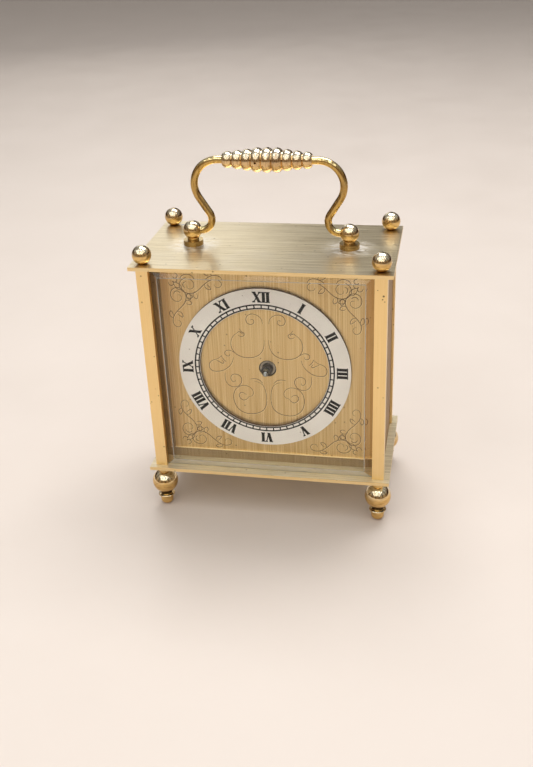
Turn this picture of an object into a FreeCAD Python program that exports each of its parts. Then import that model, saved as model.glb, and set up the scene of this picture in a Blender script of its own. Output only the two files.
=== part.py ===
import FreeCAD, Part
import math
import os
import re

import Sketcher

# A carriage-style mantel clock. It stands on its feet: the origin is on the floor under the
# middle of the case, X to the right, Y to the back, Z up, all in millimetres.

# ------------------------------------------------------------------ driving dimensions
SIZES = {
    # case
    "plate_width": 110.0,
    "plate_depth": 60.5,
    "plate_thickness": 1.6,
    "plate_overhang": 2.5,
    "clear_height": 96.7,
    "pillar_width": 5.2,
    "stud_radius": 1.45,
    "stud_hole_radius": 1.5,
    "stud_length": 7.5,
    "stud_hole_depth": 8.0,
    "groove_depth": 1.0,
    "seat_clearance": 0.1,
    # feet and finials
    "foot_height": 20.7,
    "foot_ball_radius": 5.95,
    "foot_ball_drop": 8.4,
    "foot_neck_radius": 3.35,
    "foot_neck_height": 1.2,
    "foot_waist_radius": 2.6,
    "foot_disc_radius": 3.85,
    "foot_disc_thickness": 0.6,
    "foot_disc_edge": 0.15,
    "foot_groove_radius": 2.5,
    "foot_groove_height": 0.5,
    "foot_tip_radius": 2.95,
    "foot_tip_height": 4.2,
    "foot_pad_radius": 0.9,
    "finial_radius": 4.1,
    # glazing and panels
    "glass_thickness": 3.0,
    "glass_edge": 1.4,
    "glass_setback": 0.4,
    "bevel_width": 3.4,
    "glass_top_gap": 0.3,
    "panel_thickness": 1.3,
    "panel_setback": 1.0,
    # rear door
    "door_thickness": 1.5,
    "door_barrel_radius": 1.2,
    "door_barrel_gap": 0.2,
    "door_edge_gap": 0.3,
    "hinge_pin_radius": 0.8,
    "hinge_bore_radius": 0.85,
    "hinge_pin_depth": 5.0,
    "door_knob_radius": 3.6,
    # handle
    "post_spacing": 68.4,
    "post_ball_radius": 4.1,
    "post_ball_height": 6.5,
    "post_neck_radius": 2.5,
    "post_stud_radius": 1.5,
    "post_stud_length": 5.6,
    "post_bore_radius": 1.55,
    "collar_radius": 4.3,
    "collar_height": 2.2,
    "post_nut_width": 5.5,
    "post_nut_height": 2.0,
    "rod_radius": 1.6,
    "rod_socket_radius": 1.65,
    "rod_pin_depth": 2.0,
    "lower_bend_radius": 5.1,
    "lower_bend_inset": 3.9,
    "upper_bend_radius": 10.7,
    "upper_bend_inset": 13.0,
    "handle_rise": 30.9,
    "bead_pitch": 4.2,
    "bead_radius": 2.8,
    "grip_pin_hole_radius": 0.5,
    "grip_bore_radius": 1.62,
    # dial
    "dial_setback": 11.0,
    "dial_thickness": 1.2,
    "dial_side_gap": 0.2,
    "dial_centre_height": 47.8,
    "dial_hole_radius": 3.9,
    "ring_outer_radius": 38.4,
    "ring_inner_radius": 28.9,
    "ring_thickness": 1.5,
    "ring_shift": -1.3,
    "border_width": 4.4,
    "border_thickness": 1.0,
    "block_width": 9.0,
    "block_size": 5.0,
    "block_inset": 32.0,
    # movement
    "movement_width": 56.0,
    "movement_depth": 16.0,
    "movement_wall": 1.2,
    "bay_wall_drop": 11.05,
    "bay_wall": 0.9,
    "bridge_thickness": 1.0,
    "bridge_place": 4.35,
    "bush_radius": 3.7,
    "bush_bore_radius": 2.56,
    "bush_setback": 0.5,
    "pipe_radius": 2.5,
    "pipe_bore_radius": 1.56,
    "pipe_reach": 2.4,
    "arbor_radius": 1.5,
    "arbor_reach": 6.2,
    "arbor_tip_radius": 0.6,
    "arbor_tip_length": 1.2,
    "pivot_radius": 0.6,
    "pivot_hole_radius": 0.66,
    "pivot_hole_depth": 0.7,
    "pivot_depth": 0.6,
    "wheel_thickness": 0.8,
    "pinion_length": 1.1,
    "setting_shaft_radius": 1.4,
    "setting_bore_radius": 1.46,
    "setting_knob_radius": 5.0,
    "setting_knob_height": 2.8,
    "magnet_radius": 3.0,
    "stator_gap": 0.6,
    "stator_rise": 1.5,
    "core_height": 2.4,
    "core_rise": 1.4,
    "winding_radius": 1.75,
    "winding_end_gap": 0.4,
    "board_width": 22.0,
    "board_height": 14.0,
    "board_shift": 15.0,
    "board_rise": 12.0,
    "board_depth": 12.8,
    "battery_radius": 7.1,
    "battery_length": 48.5,
    "battery_drop": 19.3,
    "battery_gap": 0.2,
    "battery_button_radius": 2.7,
    "battery_button_length": 1.2,
    "contact_width": 10.0,
    "contact_thickness": 0.5,
    "contact_dimple_radius": 2.0,
    "spring_radius": 4.0,
    "spring_tip_radius": 2.5,
}

doc = FreeCAD.newDocument("MantelClock")
sheet = doc.addObject("Spreadsheet::Sheet", "Sizes")
for row, (alias, number) in enumerate(SIZES.items(), start=1):
    sheet.set(f"A{row}", alias.replace("_", " "))
    sheet.set(f"B{row}", str(number))
    sheet.setAlias(f"B{row}", alias)
doc.recompute()


def size(alias):
    """One driving dimension, read back from the sheet."""
    return float(sheet.get(alias))


def linked(text):
    """An expression in plain alias names, with each name pointed at its cell."""
    return re.sub(r"[a-z]+_[a-z_]+", lambda word: "Sizes." + word[0], str(text))


# ------------------------------------------------------------------ places shared by the pieces
BASE_TOP = "(foot_height + plate_thickness)"
ROOF = f"({BASE_TOP} + clear_height)"
CROWN = f"({ROOF} + plate_thickness)"
PILLAR_X = "(plate_width / 2 - plate_overhang - pillar_width / 2)"
PILLAR_Y = "(plate_depth / 2 - plate_overhang - pillar_width / 2)"
PILLAR_FRONT = f"(-{PILLAR_Y} - pillar_width / 2)"
PANEL_INNER = f"({PILLAR_X} + pillar_width / 2 - panel_setback - panel_thickness)"
DIAL_FRONT = f"({PILLAR_FRONT} + dial_setback)"
DIAL_BACK = f"({DIAL_FRONT} + dial_thickness)"
DIAL_HALF_WIDTH = f"({PANEL_INNER} - dial_side_gap)"
DIAL_CENTRE = f"({BASE_TOP} + dial_centre_height)"
DOOR_HINGE_X = f"(-({PILLAR_X} - pillar_width / 2) + door_barrel_gap + door_barrel_radius)"
SWING_HEIGHT = f"({CROWN} + post_ball_height)"
CASE_FLOOR = f"({DIAL_BACK} + movement_wall)"

CORNERS = {
    "front_left": (-1, -1),
    "front_right": (1, -1),
    "rear_left": (-1, 1),
    "rear_right": (1, 1),
}
SIDES = {"left": -1, "right": 1}
TURNED = {
    "x": FreeCAD.Rotation(FreeCAD.Vector(0, 1, 0), 90),
    "y": FreeCAD.Rotation(FreeCAD.Vector(1, 0, 0), -90),
    "z": FreeCAD.Rotation(),
}
nodes = []


# ------------------------------------------------------------------ helpers
def bind(thing, **expressions):
    """Bind properties of an object to the sheet."""
    for prop, text in expressions.items():
        thing.setExpression(prop, linked(text))
    return thing


def place(thing, x=0, y=0, z=0):
    """Bind the position of an object to the sheet."""
    for axis, text in zip("xyz", (x, y, z)):
        thing.setExpression(f"Placement.Base.{axis}", linked(text))
    return thing


def keep(thing, node):
    """Name a finished piece."""
    thing.Label = node
    nodes.append(thing)
    return thing


def box(width, depth, height, x=0, y=0, z=0):
    """A box that is centred on x and y and stands on z."""
    solid = bind(doc.addObject("Part::Box", "Block"), Length=width, Width=depth, Height=height)
    return place(solid, f"{x} - ({width}) / 2", f"{y} - ({depth}) / 2", z)


def cylinder(radius, height, x=0, y=0, z=0, axis="z"):
    """A cylinder that starts at x, y, z and runs along an axis."""
    solid = bind(doc.addObject("Part::Cylinder", "Rod"), Radius=radius, Height=height)
    solid.Placement.Rotation = TURNED[axis]
    return place(solid, x, y, z)


def cone(radius_start, radius_end, height, x=0, y=0, z=0, axis="z"):
    """A cone frustum that starts at x, y, z and runs along an axis."""
    solid = bind(doc.addObject("Part::Cone", "Taper"),
                 Radius1=radius_start, Radius2=radius_end, Height=height)
    solid.Placement.Rotation = TURNED[axis]
    return place(solid, x, y, z)


def fuse(*parts):
    """All the parts as one solid."""
    whole = doc.addObject("Part::MultiFuse", "Joined")
    whole.Shapes = list(parts)
    whole.Refine = True
    return whole


def cut(base, *tools):
    """The base with every tool taken out of it."""
    for tool in tools:
        step = doc.addObject("Part::Cut", "Machined")
        step.Base = base
        step.Tool = tool
        base = step
    return base


def new_body(name):
    return doc.addObject("PartDesign::Body", name)


def new_sketch(body, role, offset=0):
    """A sketch on one of the body's own origin planes, moved along its normal."""
    sketch = body.newObject("Sketcher::SketchObject", "Outline")
    plane = next(item for item in body.Origin.OriginFeatures if item.Role == role)
    sketch.AttachmentSupport = [(plane, "")]
    sketch.MapMode = "FlatFace"
    sketch.setExpression("AttachmentOffset.Base.z", linked(offset))
    return sketch


def point(x, y):
    return FreeCAD.Vector(x, y, 0)


def draw_outline(sketch, steps):
    """Draw a closed outline: a step is the next point, or (point on the way, next point) for an arc."""
    ends = [step[1] if isinstance(step, tuple) else step for step in steps]
    for start, step in zip([ends[-1]] + ends[:-1], steps):
        if isinstance(step, tuple):
            sketch.addGeometry(Part.Arc(start, step[0], step[1]), False)
        else:
            sketch.addGeometry(Part.LineSegment(start, step), False)


def draw_circle(sketch, radius):
    """A circle about the sketch's origin whose radius is bound to the sheet."""
    circle = Part.Circle(point(0, 0), FreeCAD.Vector(0, 0, 1), 1.0)
    index = sketch.addGeometry(circle, False)
    sketch.addConstraint(Sketcher.Constraint("Coincident", index, 3, -1, 1))
    constraint = sketch.addConstraint(Sketcher.Constraint("Radius", index, 1.0))
    sketch.setExpression(f"Constraints[{constraint}]", linked(radius))


def turn(body, sketch, axis):
    """Revolve a sketch a full turn about its own H or V axis."""
    lathe = body.newObject("PartDesign::Revolution", "Turned")
    lathe.Profile = sketch
    lathe.ReferenceAxis = (sketch, [axis])
    lathe.Angle = 360.0
    body.Tip = lathe
    return lathe


def pad(body, sketch, length):
    """Pad a sketch against its plane's normal, which on the XZ plane is towards the back."""
    layer = body.newObject("PartDesign::Pad", "Layer")
    layer.Profile = sketch
    layer.Reversed = True
    layer.setExpression("Length", linked(length))
    body.Tip = layer
    return layer


# ------------------------------------------------------------------ case
def make_plates():
    """The two brass plates that the pillars, feet and finials clamp together."""
    for node, level in (("base_plate", "foot_height"), ("top_plate", ROOF)):
        blank = box("plate_width", "plate_depth", "plate_thickness", z=level)
        through = f"{level} - plate_thickness"
        drills = [
            cylinder("stud_hole_radius", "plate_thickness * 3",
                     f"{sx} * {PILLAR_X}", f"{sy} * {PILLAR_Y}", through)
            for sx, sy in CORNERS.values()
        ]
        drills.append(cylinder("hinge_bore_radius", "plate_thickness * 3",
                               DOOR_HINGE_X, PILLAR_Y, through))
        if node == "top_plate":
            drills += [
                cylinder("post_bore_radius", "plate_thickness * 3",
                         f"{sx} * post_spacing / 2", 0, through)
                for sx in SIDES.values()
            ]
        keep(cut(blank, *drills), node)


def make_pillars():
    """Square bars, grooved for the front glass and the side panels and bored at both ends."""
    for corner, (sx, sy) in CORNERS.items():
        bar = box("pillar_width", "pillar_width", "clear_height")
        tools = [
            cylinder("stud_hole_radius", "stud_hole_depth"),
            cylinder("stud_hole_radius", "stud_hole_depth", z="clear_height - stud_hole_depth"),
            box("panel_thickness + seat_clearance", "groove_depth * 2", "clear_height * 1.1",
                f"{sx} * (pillar_width / 2 - panel_setback - panel_thickness / 2)",
                f"{-sy} * pillar_width / 2", "-clear_height * 0.05"),
        ]
        if sy < 0:
            tools.append(
                box("groove_depth * 2", "glass_edge + seat_clearance", "clear_height * 1.1",
                    f"{-sx} * pillar_width / 2",
                    "-pillar_width / 2 + glass_setback + glass_thickness - glass_edge / 2",
                    "-clear_height * 0.05"))
        bar = cut(bar, *tools)
        keep(place(bar, f"{sx} * {PILLAR_X}", f"{sy} * {PILLAR_Y}", BASE_TOP), f"pillar_{corner}")


def foot_outline():
    """Half section of a turned foot, from the floor up to the tip of its stud."""
    height = size("foot_height")
    ball = size("foot_ball_radius")
    centre = height - size("foot_ball_drop")
    neck = size("foot_neck_radius")
    neck_foot = height - size("foot_neck_height")
    waist = size("foot_waist_radius")
    disc = size("foot_disc_radius")
    edge = size("foot_disc_edge")
    groove = size("foot_groove_radius")
    tip = size("foot_tip_radius")
    tip_top = size("foot_tip_height")
    disc_foot = tip_top + size("foot_groove_height")
    disc_top = disc_foot + size("foot_disc_thickness")
    flat = size("foot_pad_radius")
    rounding = tip - flat
    diagonal = rounding * math.sqrt(0.5)
    stud = size("stud_radius")
    stud_end = height + size("plate_thickness") + size("stud_length")
    ball_foot = centre - math.sqrt(ball ** 2 - waist ** 2)
    ball_top = centre + math.sqrt(ball ** 2 - groove ** 2)
    return [
        point(0, 0),
        point(flat, 0),
        (point(flat + diagonal, rounding - diagonal), point(tip, rounding)),
        point(tip, tip_top),
        point(groove, tip_top),
        point(groove, disc_foot),
        point(disc - edge, disc_foot),
        point(disc, disc_foot + edge),
        point(disc, disc_top - edge),
        point(disc - edge, disc_top),
        point(waist, disc_top),
        point(waist, ball_foot),
        (point(ball, centre), point(groove, ball_top)),
        point(groove, neck_foot),
        point(neck, neck_foot),
        point(neck, height),
        point(stud, height),
        point(stud, stud_end),
        point(0, stud_end),
    ]


def finial_outline():
    """Half section of a ball finial, whose stud goes down through the plate."""
    ball = size("finial_radius")
    stud = size("stud_radius")
    centre = math.sqrt(ball ** 2 - stud ** 2)
    depth = size("plate_thickness") + size("stud_length")
    return [
        point(0, -depth),
        point(stud, -depth),
        point(stud, 0),
        (point(ball, centre), point(0, centre + ball)),
    ]


def make_turned(node, outline, x, y, z):
    body = new_body(node)
    sketch = new_sketch(body, "XZ_Plane")
    draw_outline(sketch, outline)
    turn(body, sketch, "V_Axis")
    return keep(place(body, x, y, z), node)


def make_feet_and_finials():
    for corner, (sx, sy) in CORNERS.items():
        x = f"{sx} * {PILLAR_X}"
        y = f"{sy} * {PILLAR_Y}"
        make_turned(f"foot_{corner}", foot_outline(), x, y, 0)
        make_turned(f"finial_{corner}", finial_outline(), x, y, CROWN)


# ------------------------------------------------------------------ glazing, panels and door
def make_front_glass():
    """A bevelled pane: a thin edge slab with a tapered face in front of it."""
    opening = f"({PILLAR_X} - pillar_width / 2)"
    half_width = f"({opening} + groove_depth - seat_clearance)"
    face = f"({PILLAR_FRONT} + glass_setback)"
    shoulder = f"({face} + glass_thickness - glass_edge)"
    top = f"({ROOF} - glass_top_gap)"
    slab = box(f"2 * {half_width}", "glass_edge", f"{top} - {BASE_TOP}",
               0, f"({shoulder} + glass_edge / 2)", BASE_TOP)
    bevel = bind(
        doc.addObject("Part::Wedge", "Bevel"),
        Ymin=face, Ymax=shoulder,
        Xmin=f"-({opening} - seat_clearance - bevel_width)",
        Xmax=f"{opening} - seat_clearance - bevel_width",
        Zmin=f"{BASE_TOP} + bevel_width", Zmax=f"{top} - bevel_width",
        X2min=f"-({opening} - seat_clearance)", X2max=f"{opening} - seat_clearance",
        Z2min=BASE_TOP, Z2max=top,
    )
    keep(fuse(slab, bevel), "front_glass")


def make_side_panels():
    """Plain brass sheets held in the grooves of the pillars."""
    reach = f"({PILLAR_Y} - pillar_width / 2 + groove_depth - seat_clearance)"
    for side, sx in SIDES.items():
        panel = box("panel_thickness", f"2 * {reach}", "clear_height - glass_top_gap",
                    f"{sx} * ({PANEL_INNER} + panel_thickness / 2)", 0, BASE_TOP)
        keep(panel, f"side_panel_{side}")


def make_rear_door():
    """A door between the rear pillars that turns on two pins in its rounded hinge edge."""
    length = "(clear_height - 2 * door_edge_gap)"
    foot = f"({BASE_TOP} + door_edge_gap)"
    width = f"(2 * ({PILLAR_X} - pillar_width / 2) - 2 * door_barrel_gap - door_barrel_radius)"
    knob_x = f"({DOOR_HINGE_X} + {width} - 2.5 * door_knob_radius)"
    leaf = box(width, "door_thickness", length, f"{DOOR_HINGE_X} + {width} / 2", PILLAR_Y, foot)
    barrel = cylinder("door_barrel_radius", length, DOOR_HINGE_X, PILLAR_Y, foot)
    bores = [
        cylinder("hinge_bore_radius", "hinge_pin_depth * 2", DOOR_HINGE_X, PILLAR_Y, level)
        for level in (f"{BASE_TOP} - hinge_pin_depth", f"{ROOF} - hinge_pin_depth")
    ]
    knob_bore = cylinder("hinge_bore_radius", "door_thickness * 3",
                         knob_x, f"{PILLAR_Y} - door_thickness * 1.5", DIAL_CENTRE, "y")
    keep(cut(fuse(leaf, barrel), *bores, knob_bore), "rear_door")

    pin_length = "hinge_pin_depth - seat_clearance + plate_thickness"
    for node, level in (("door_pin_lower", "foot_height"),
                        ("door_pin_upper", f"{ROOF} - hinge_pin_depth + seat_clearance")):
        keep(cylinder("hinge_pin_radius", pin_length, DOOR_HINGE_X, PILLAR_Y, level), node)

    back = f"({PILLAR_Y} + door_thickness / 2)"
    stem = cylinder("hinge_pin_radius", "door_thickness + seat_clearance",
                    knob_x, f"{PILLAR_Y} - door_thickness / 2", DIAL_CENTRE, "y")
    neck = cylinder("door_knob_radius / 2", "door_knob_radius / 3", knob_x, back, DIAL_CENTRE, "y")
    head = cone("door_knob_radius", "door_knob_radius * 0.7", "door_knob_radius / 2",
                knob_x, f"{back} + door_knob_radius / 3", DIAL_CENTRE, "y")
    keep(fuse(stem, neck, head), "door_knob")

    stop_depth = "block_size"
    stop = box("block_width", stop_depth, "block_size",
               f"{PILLAR_X} - pillar_width / 2 - block_width",
               f"{PILLAR_Y} - door_thickness / 2 - {stop_depth} / 2", f"{ROOF} - block_size")
    keep(stop, "door_stop")


# ------------------------------------------------------------------ handle
def make_handle_posts():
    """Ball posts on loose collars, each held by a stud and a hexagon nut under the top plate."""
    for side, sx in SIDES.items():
        x = f"{sx} * post_spacing / 2"
        ball = bind(doc.addObject("Part::Sphere", "Ball"), Radius="post_ball_radius")
        place(ball, x, 0, SWING_HEIGHT)
        neck = cylinder("post_neck_radius", "post_ball_height - collar_height",
                        x, 0, f"{CROWN} + collar_height")
        stud = cylinder("post_stud_radius", "post_stud_length + collar_height",
                        x, 0, f"{CROWN} - post_stud_length")
        mouth = f"{x} - post_ball_radius * 2" if sx > 0 else f"{x} - rod_pin_depth - seat_clearance"
        socket = cylinder("rod_socket_radius",
                          "post_ball_radius * 2 + rod_pin_depth + seat_clearance",
                          mouth, 0, SWING_HEIGHT, "x")
        keep(cut(fuse(ball, neck, stud), socket), f"handle_post_{side}")

        collar = cylinder("collar_radius", "collar_height", x, 0, CROWN)
        bore = cylinder("post_bore_radius", "collar_height * 3", x, 0, f"{CROWN} - collar_height")
        keep(cut(collar, bore), f"handle_collar_{side}")

        nut = bind(doc.addObject("Part::Prism", "Hexagon"),
                   Circumradius="post_nut_width / sqrt(3)", Height="post_nut_height")
        nut.Polygon = 6
        place(nut, x, 0, f"{ROOF} - post_nut_height")
        thread = cylinder("post_bore_radius", "post_nut_height * 3",
                          x, 0, f"{ROOF} - post_nut_height * 2")
        keep(cut(nut, thread), f"handle_nut_{side}")


def draw_handle_path(sketch):
    """The rod's centre line: pin, tight lower bend, leaning leg, wide upper bend, straight top."""
    post = size("post_spacing") / 2
    rise = size("handle_rise")
    lower = size("lower_bend_radius")
    upper = size("upper_bend_radius")
    lower_centre = point(post - size("lower_bend_inset"), lower)
    upper_centre = point(post - size("upper_bend_inset"), rise - upper)
    between = upper_centre - lower_centre
    lean = math.atan2(between.y, between.x) + math.acos((lower + upper) / between.Length)
    toward = point(math.cos(lean), math.sin(lean))
    pin_end = point(post + size("rod_pin_depth"), 0)
    lower_start = point(lower_centre.x, 0)
    lower_end = lower_centre + toward * lower
    upper_start = upper_centre - toward * upper
    upper_end = point(upper_centre.x, rise)
    lower_middle = lower_centre + point(-lower, 0)
    upper_middle = upper_centre + point(upper, 0)

    def mirrored(spot):
        return point(-spot.x, spot.y)

    sketch.addGeometry([
        Part.LineSegment(pin_end, lower_start),
        Part.Arc(lower_start, lower_middle, lower_end),
        Part.LineSegment(lower_end, upper_start),
        Part.Arc(upper_start, upper_middle, upper_end),
        Part.LineSegment(upper_end, mirrored(upper_end)),
        Part.Arc(mirrored(upper_end), mirrored(upper_middle), mirrored(upper_start)),
        Part.LineSegment(mirrored(upper_start), mirrored(lower_end)),
        Part.Arc(mirrored(lower_end), mirrored(lower_middle), mirrored(lower_start)),
        Part.LineSegment(mirrored(lower_start), mirrored(pin_end)),
    ], False)


def make_handle_rod():
    """One bent rod whose two straight ends turn in the ball posts."""
    body = new_body("handle_rod")
    section = new_sketch(body, "YZ_Plane", "post_spacing / 2 + rod_pin_depth")
    draw_circle(section, "rod_radius")
    path = new_sketch(body, "XZ_Plane")
    draw_handle_path(path)
    pipe = body.newObject("PartDesign::AdditivePipe", "BentRod")
    pipe.Profile = section
    pipe.Spine = path
    body.Tip = pipe
    keep(place(body, 0, 0, SWING_HEIGHT), "handle_rod")


def bead_valley(left, right, radius):
    """Where two neighbouring bead arcs of one radius meet on the outside of the grip."""
    half_gap = (right - left) * 0.5
    outward = point(-half_gap.y, half_gap.x).normalize()
    return left + half_gap + outward * math.sqrt(radius ** 2 - half_gap.Length ** 2)


def make_handle_grip():
    """A turned grip of round beads that swell towards the middle, bored for the rod."""
    pitch = size("bead_pitch")
    bead = size("bead_radius")
    bore = size("grip_bore_radius")
    grip_radii = (3.45, 3.9, 4.45, 5.1, 5.2, 5.1, 4.45, 3.9, 3.45)
    end = pitch * len(grip_radii) / 2
    centres = [point(pitch * (number + 0.5) - end, radius - bead)
               for number, radius in enumerate(grip_radii)]
    end_height = centres[0].y + math.sqrt(bead ** 2 - (pitch / 2) ** 2)
    valleys = [bead_valley(left, right, bead) for left, right in zip(centres, centres[1:])]
    valleys.append(point(end, end_height))
    outline = [point(-end, bore), point(-end, end_height)]
    for centre, valley in zip(centres, valleys):
        outline.append((centre + point(0, bead), valley))
    outline.append(point(end, bore))
    body = new_body("handle_grip")
    sketch = new_sketch(body, "XZ_Plane")
    draw_outline(sketch, outline)
    turn(body, sketch, "H_Axis")

    pin_bead = centres[3]
    mouth = new_sketch(body, "XZ_Plane", "bead_radius * 3")
    hole = Part.Circle(point(pin_bead.x, 0), FreeCAD.Vector(0, 0, 1), size("grip_pin_hole_radius"))
    mouth.addGeometry(hole, False)
    pin_hole = body.newObject("PartDesign::Pocket", "PinHole")
    pin_hole.Profile = mouth
    pin_hole.setExpression("Length", linked("bead_radius * 3 - grip_bore_radius / 2"))
    body.Tip = pin_hole
    keep(place(body, 0, 0, f"{SWING_HEIGHT} + handle_rise"), "handle_grip")


# ------------------------------------------------------------------ dial
def make_dial():
    """The dial plate and its raised chapter ring, which sits a little left of the arbor."""
    plate = box(f"2 * {DIAL_HALF_WIDTH}", "dial_thickness", "clear_height - glass_top_gap",
                0, f"{DIAL_FRONT} + dial_thickness / 2", BASE_TOP)
    hole = cylinder("dial_hole_radius", "dial_thickness * 3",
                    0, f"{DIAL_FRONT} - dial_thickness", DIAL_CENTRE, "y")
    keep(cut(plate, hole), "dial_plate")

    front = f"({DIAL_FRONT} - ring_thickness)"
    disc = cylinder("ring_outer_radius", "ring_thickness", "ring_shift", front, DIAL_CENTRE, "y")
    inside = cylinder("ring_inner_radius", "ring_thickness * 3",
                      "ring_shift", f"{front} - ring_thickness", DIAL_CENTRE, "y")
    keep(cut(disc, inside), "chapter_ring")


def make_dial_borders():
    """Four mitred strips that frame the dial plate."""
    half_width = size("plate_width") / 2 - size("plate_overhang") - size("panel_setback")
    half_width -= size("panel_thickness") + size("dial_side_gap")
    height = size("clear_height") - size("glass_top_gap")
    width = size("border_width")
    outer = [point(-half_width, 0), point(half_width, 0),
             point(half_width, height), point(-half_width, height)]
    inner = [point(-half_width + width, width), point(half_width - width, width),
             point(half_width - width, height - width), point(-half_width + width, height - width)]
    for number, side in enumerate(("bottom", "right", "top", "left")):
        following = (number + 1) % 4
        body = new_body(f"dial_border_{side}")
        sketch = new_sketch(body, "XZ_Plane", f"border_thickness - {DIAL_FRONT}")
        draw_outline(sketch, [outer[number], outer[following], inner[following], inner[number]])
        pad(body, sketch, "border_thickness")
        keep(place(body, 0, 0, BASE_TOP), f"dial_border_{side}")


def make_dial_blocks():
    """Small square bars that fix the dial plate to the base plate and the top plate."""
    for level, z in (("lower", BASE_TOP), ("upper", f"{ROOF} - block_size")):
        for side, sx in SIDES.items():
            block = box("block_width", "block_size", "block_size", f"{sx} * block_inset",
                        f"{DIAL_BACK} + block_size / 2", z)
            keep(block, f"dial_block_{level}_{side}")


# ------------------------------------------------------------------ movement
# Each gear is (teeth, module). Meshing pairs share a module.
CANNON_PINION = (10, 0.5)
MINUTE_WHEEL = (30, 0.5)
MINUTE_PINION = (8, 0.5)
HOUR_WHEEL = (32, 0.5)
SETTING_PINION = (10, 0.5)
DRIVE_WHEEL = (60, 0.35)
THIRD_PINION = (8, 0.35)
THIRD_WHEEL = (64, 0.3)
SECONDS_PINION = (8, 0.3)
SECONDS_WHEEL = (60, 0.3)
INTERMEDIATE_PINION = (10, 0.3)
INTERMEDIATE_WHEEL = (60, 0.25)
ROTOR_PINION = (12, 0.25)

# Direction, in degrees from X towards Z, from one arbor to the next one in mesh.
MINUTE_DIRECTION = -10.0
SETTING_DIRECTION = -25.0
THIRD_DIRECTION = 50.0
SECONDS_DIRECTION = 150.0
INTERMEDIATE_DIRECTION = 200.0
ROTOR_DIRECTION = 240.0


def next_arbor(start, first, second, direction):
    """The arbor that carries `second` when it meshes with `first` on the arbor at start."""
    distance = (first[0] + second[0]) * first[1] / 2
    angle = math.radians(direction)
    return (start[0] + distance * math.cos(angle), start[1] + distance * math.sin(angle))


def mesh_phase(first, first_phase, second, direction):
    """Angle of a tooth of `second` that drops its gap over the tooth of `first` between them."""
    lead = (first_phase - direction) % (360 / first[0])
    return direction + 180 - lead * first[0] / second[0] + 180 / second[0]


CENTRE = (0.0, 0.0)
MINUTE = next_arbor(CENTRE, CANNON_PINION, MINUTE_WHEEL, MINUTE_DIRECTION)
SETTING = next_arbor(MINUTE, MINUTE_WHEEL, SETTING_PINION, SETTING_DIRECTION)
THIRD = next_arbor(CENTRE, DRIVE_WHEEL, THIRD_PINION, THIRD_DIRECTION)
SECONDS = next_arbor(THIRD, THIRD_WHEEL, SECONDS_PINION, SECONDS_DIRECTION)
INTERMEDIATE = next_arbor(SECONDS, SECONDS_WHEEL, INTERMEDIATE_PINION, INTERMEDIATE_DIRECTION)
ROTOR = next_arbor(INTERMEDIATE, INTERMEDIATE_WHEEL, ROTOR_PINION, ROTOR_DIRECTION)

# Depths behind the front face of the movement, where each layer starts.
MINUTE_LAYER = 2.75
HOUR_LAYER = 1.65
DRIVE_LAYER = 5.95
THIRD_LAYER = 7.35
SECONDS_LAYER = 8.65
INTERMEDIATE_LAYER = 9.95
MAGNET_LAYER = 11.35
STATOR_LAYER = 11.6
ARBOR_TAIL = 0.3
PINION_LEAD = 0.15


def gear_outline(gear, phase):
    """A straight-flanked gear outline with slim teeth, so that meshed pairs run with backlash."""
    teeth, module = gear
    pitch_radius = teeth * module / 2
    root_radius = pitch_radius - 1.15 * module
    tip_radius = pitch_radius + 0.75 * module
    root_half = 0.27 * 360 / teeth
    tip_half = 0.10 * 360 / teeth
    outline = []
    for tooth in range(teeth):
        middle = phase + tooth * 360 / teeth
        for radius, turn_by in ((root_radius, -root_half), (tip_radius, -tip_half),
                                (tip_radius, tip_half), (root_radius, root_half)):
            angle = math.radians(middle + turn_by)
            outline.append(point(radius * math.cos(angle), radius * math.sin(angle)))
    return outline


def gear_layer(body, gear, phase, depth, length):
    """Pad one gear in its body, `depth` behind the front of the movement."""
    sketch = new_sketch(body, "XZ_Plane", f"-({depth})")
    draw_outline(sketch, gear_outline(gear, phase))
    return pad(body, sketch, length)


def round_layer(body, radius, depth, length):
    """Pad one round of an arbor, `depth` behind the front of the movement."""
    sketch = new_sketch(body, "XZ_Plane", f"-({depth})")
    draw_circle(sketch, radius)
    return pad(body, sketch, length)


def bore_through(body, radius, depth, length):
    """Bore a body along its arbor from `depth` towards the back."""
    sketch = new_sketch(body, "XZ_Plane", f"-({depth})")
    draw_circle(sketch, radius)
    bore = body.newObject("PartDesign::Pocket", "Bore")
    bore.Profile = sketch
    bore.setExpression("Length", linked(length))
    body.Tip = bore
    return bore


def at_arbor(body, arbor, node):
    """Set a body that was drawn about its own arbor into the movement."""
    place(body, arbor[0], DIAL_BACK, f"{DIAL_CENTRE} + {arbor[1]}")
    return keep(body, node)


REAR_PIVOT_END = "(movement_depth - movement_wall + pivot_depth)"
BRIDGE_BACK = "(bridge_place + bridge_thickness)"


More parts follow.
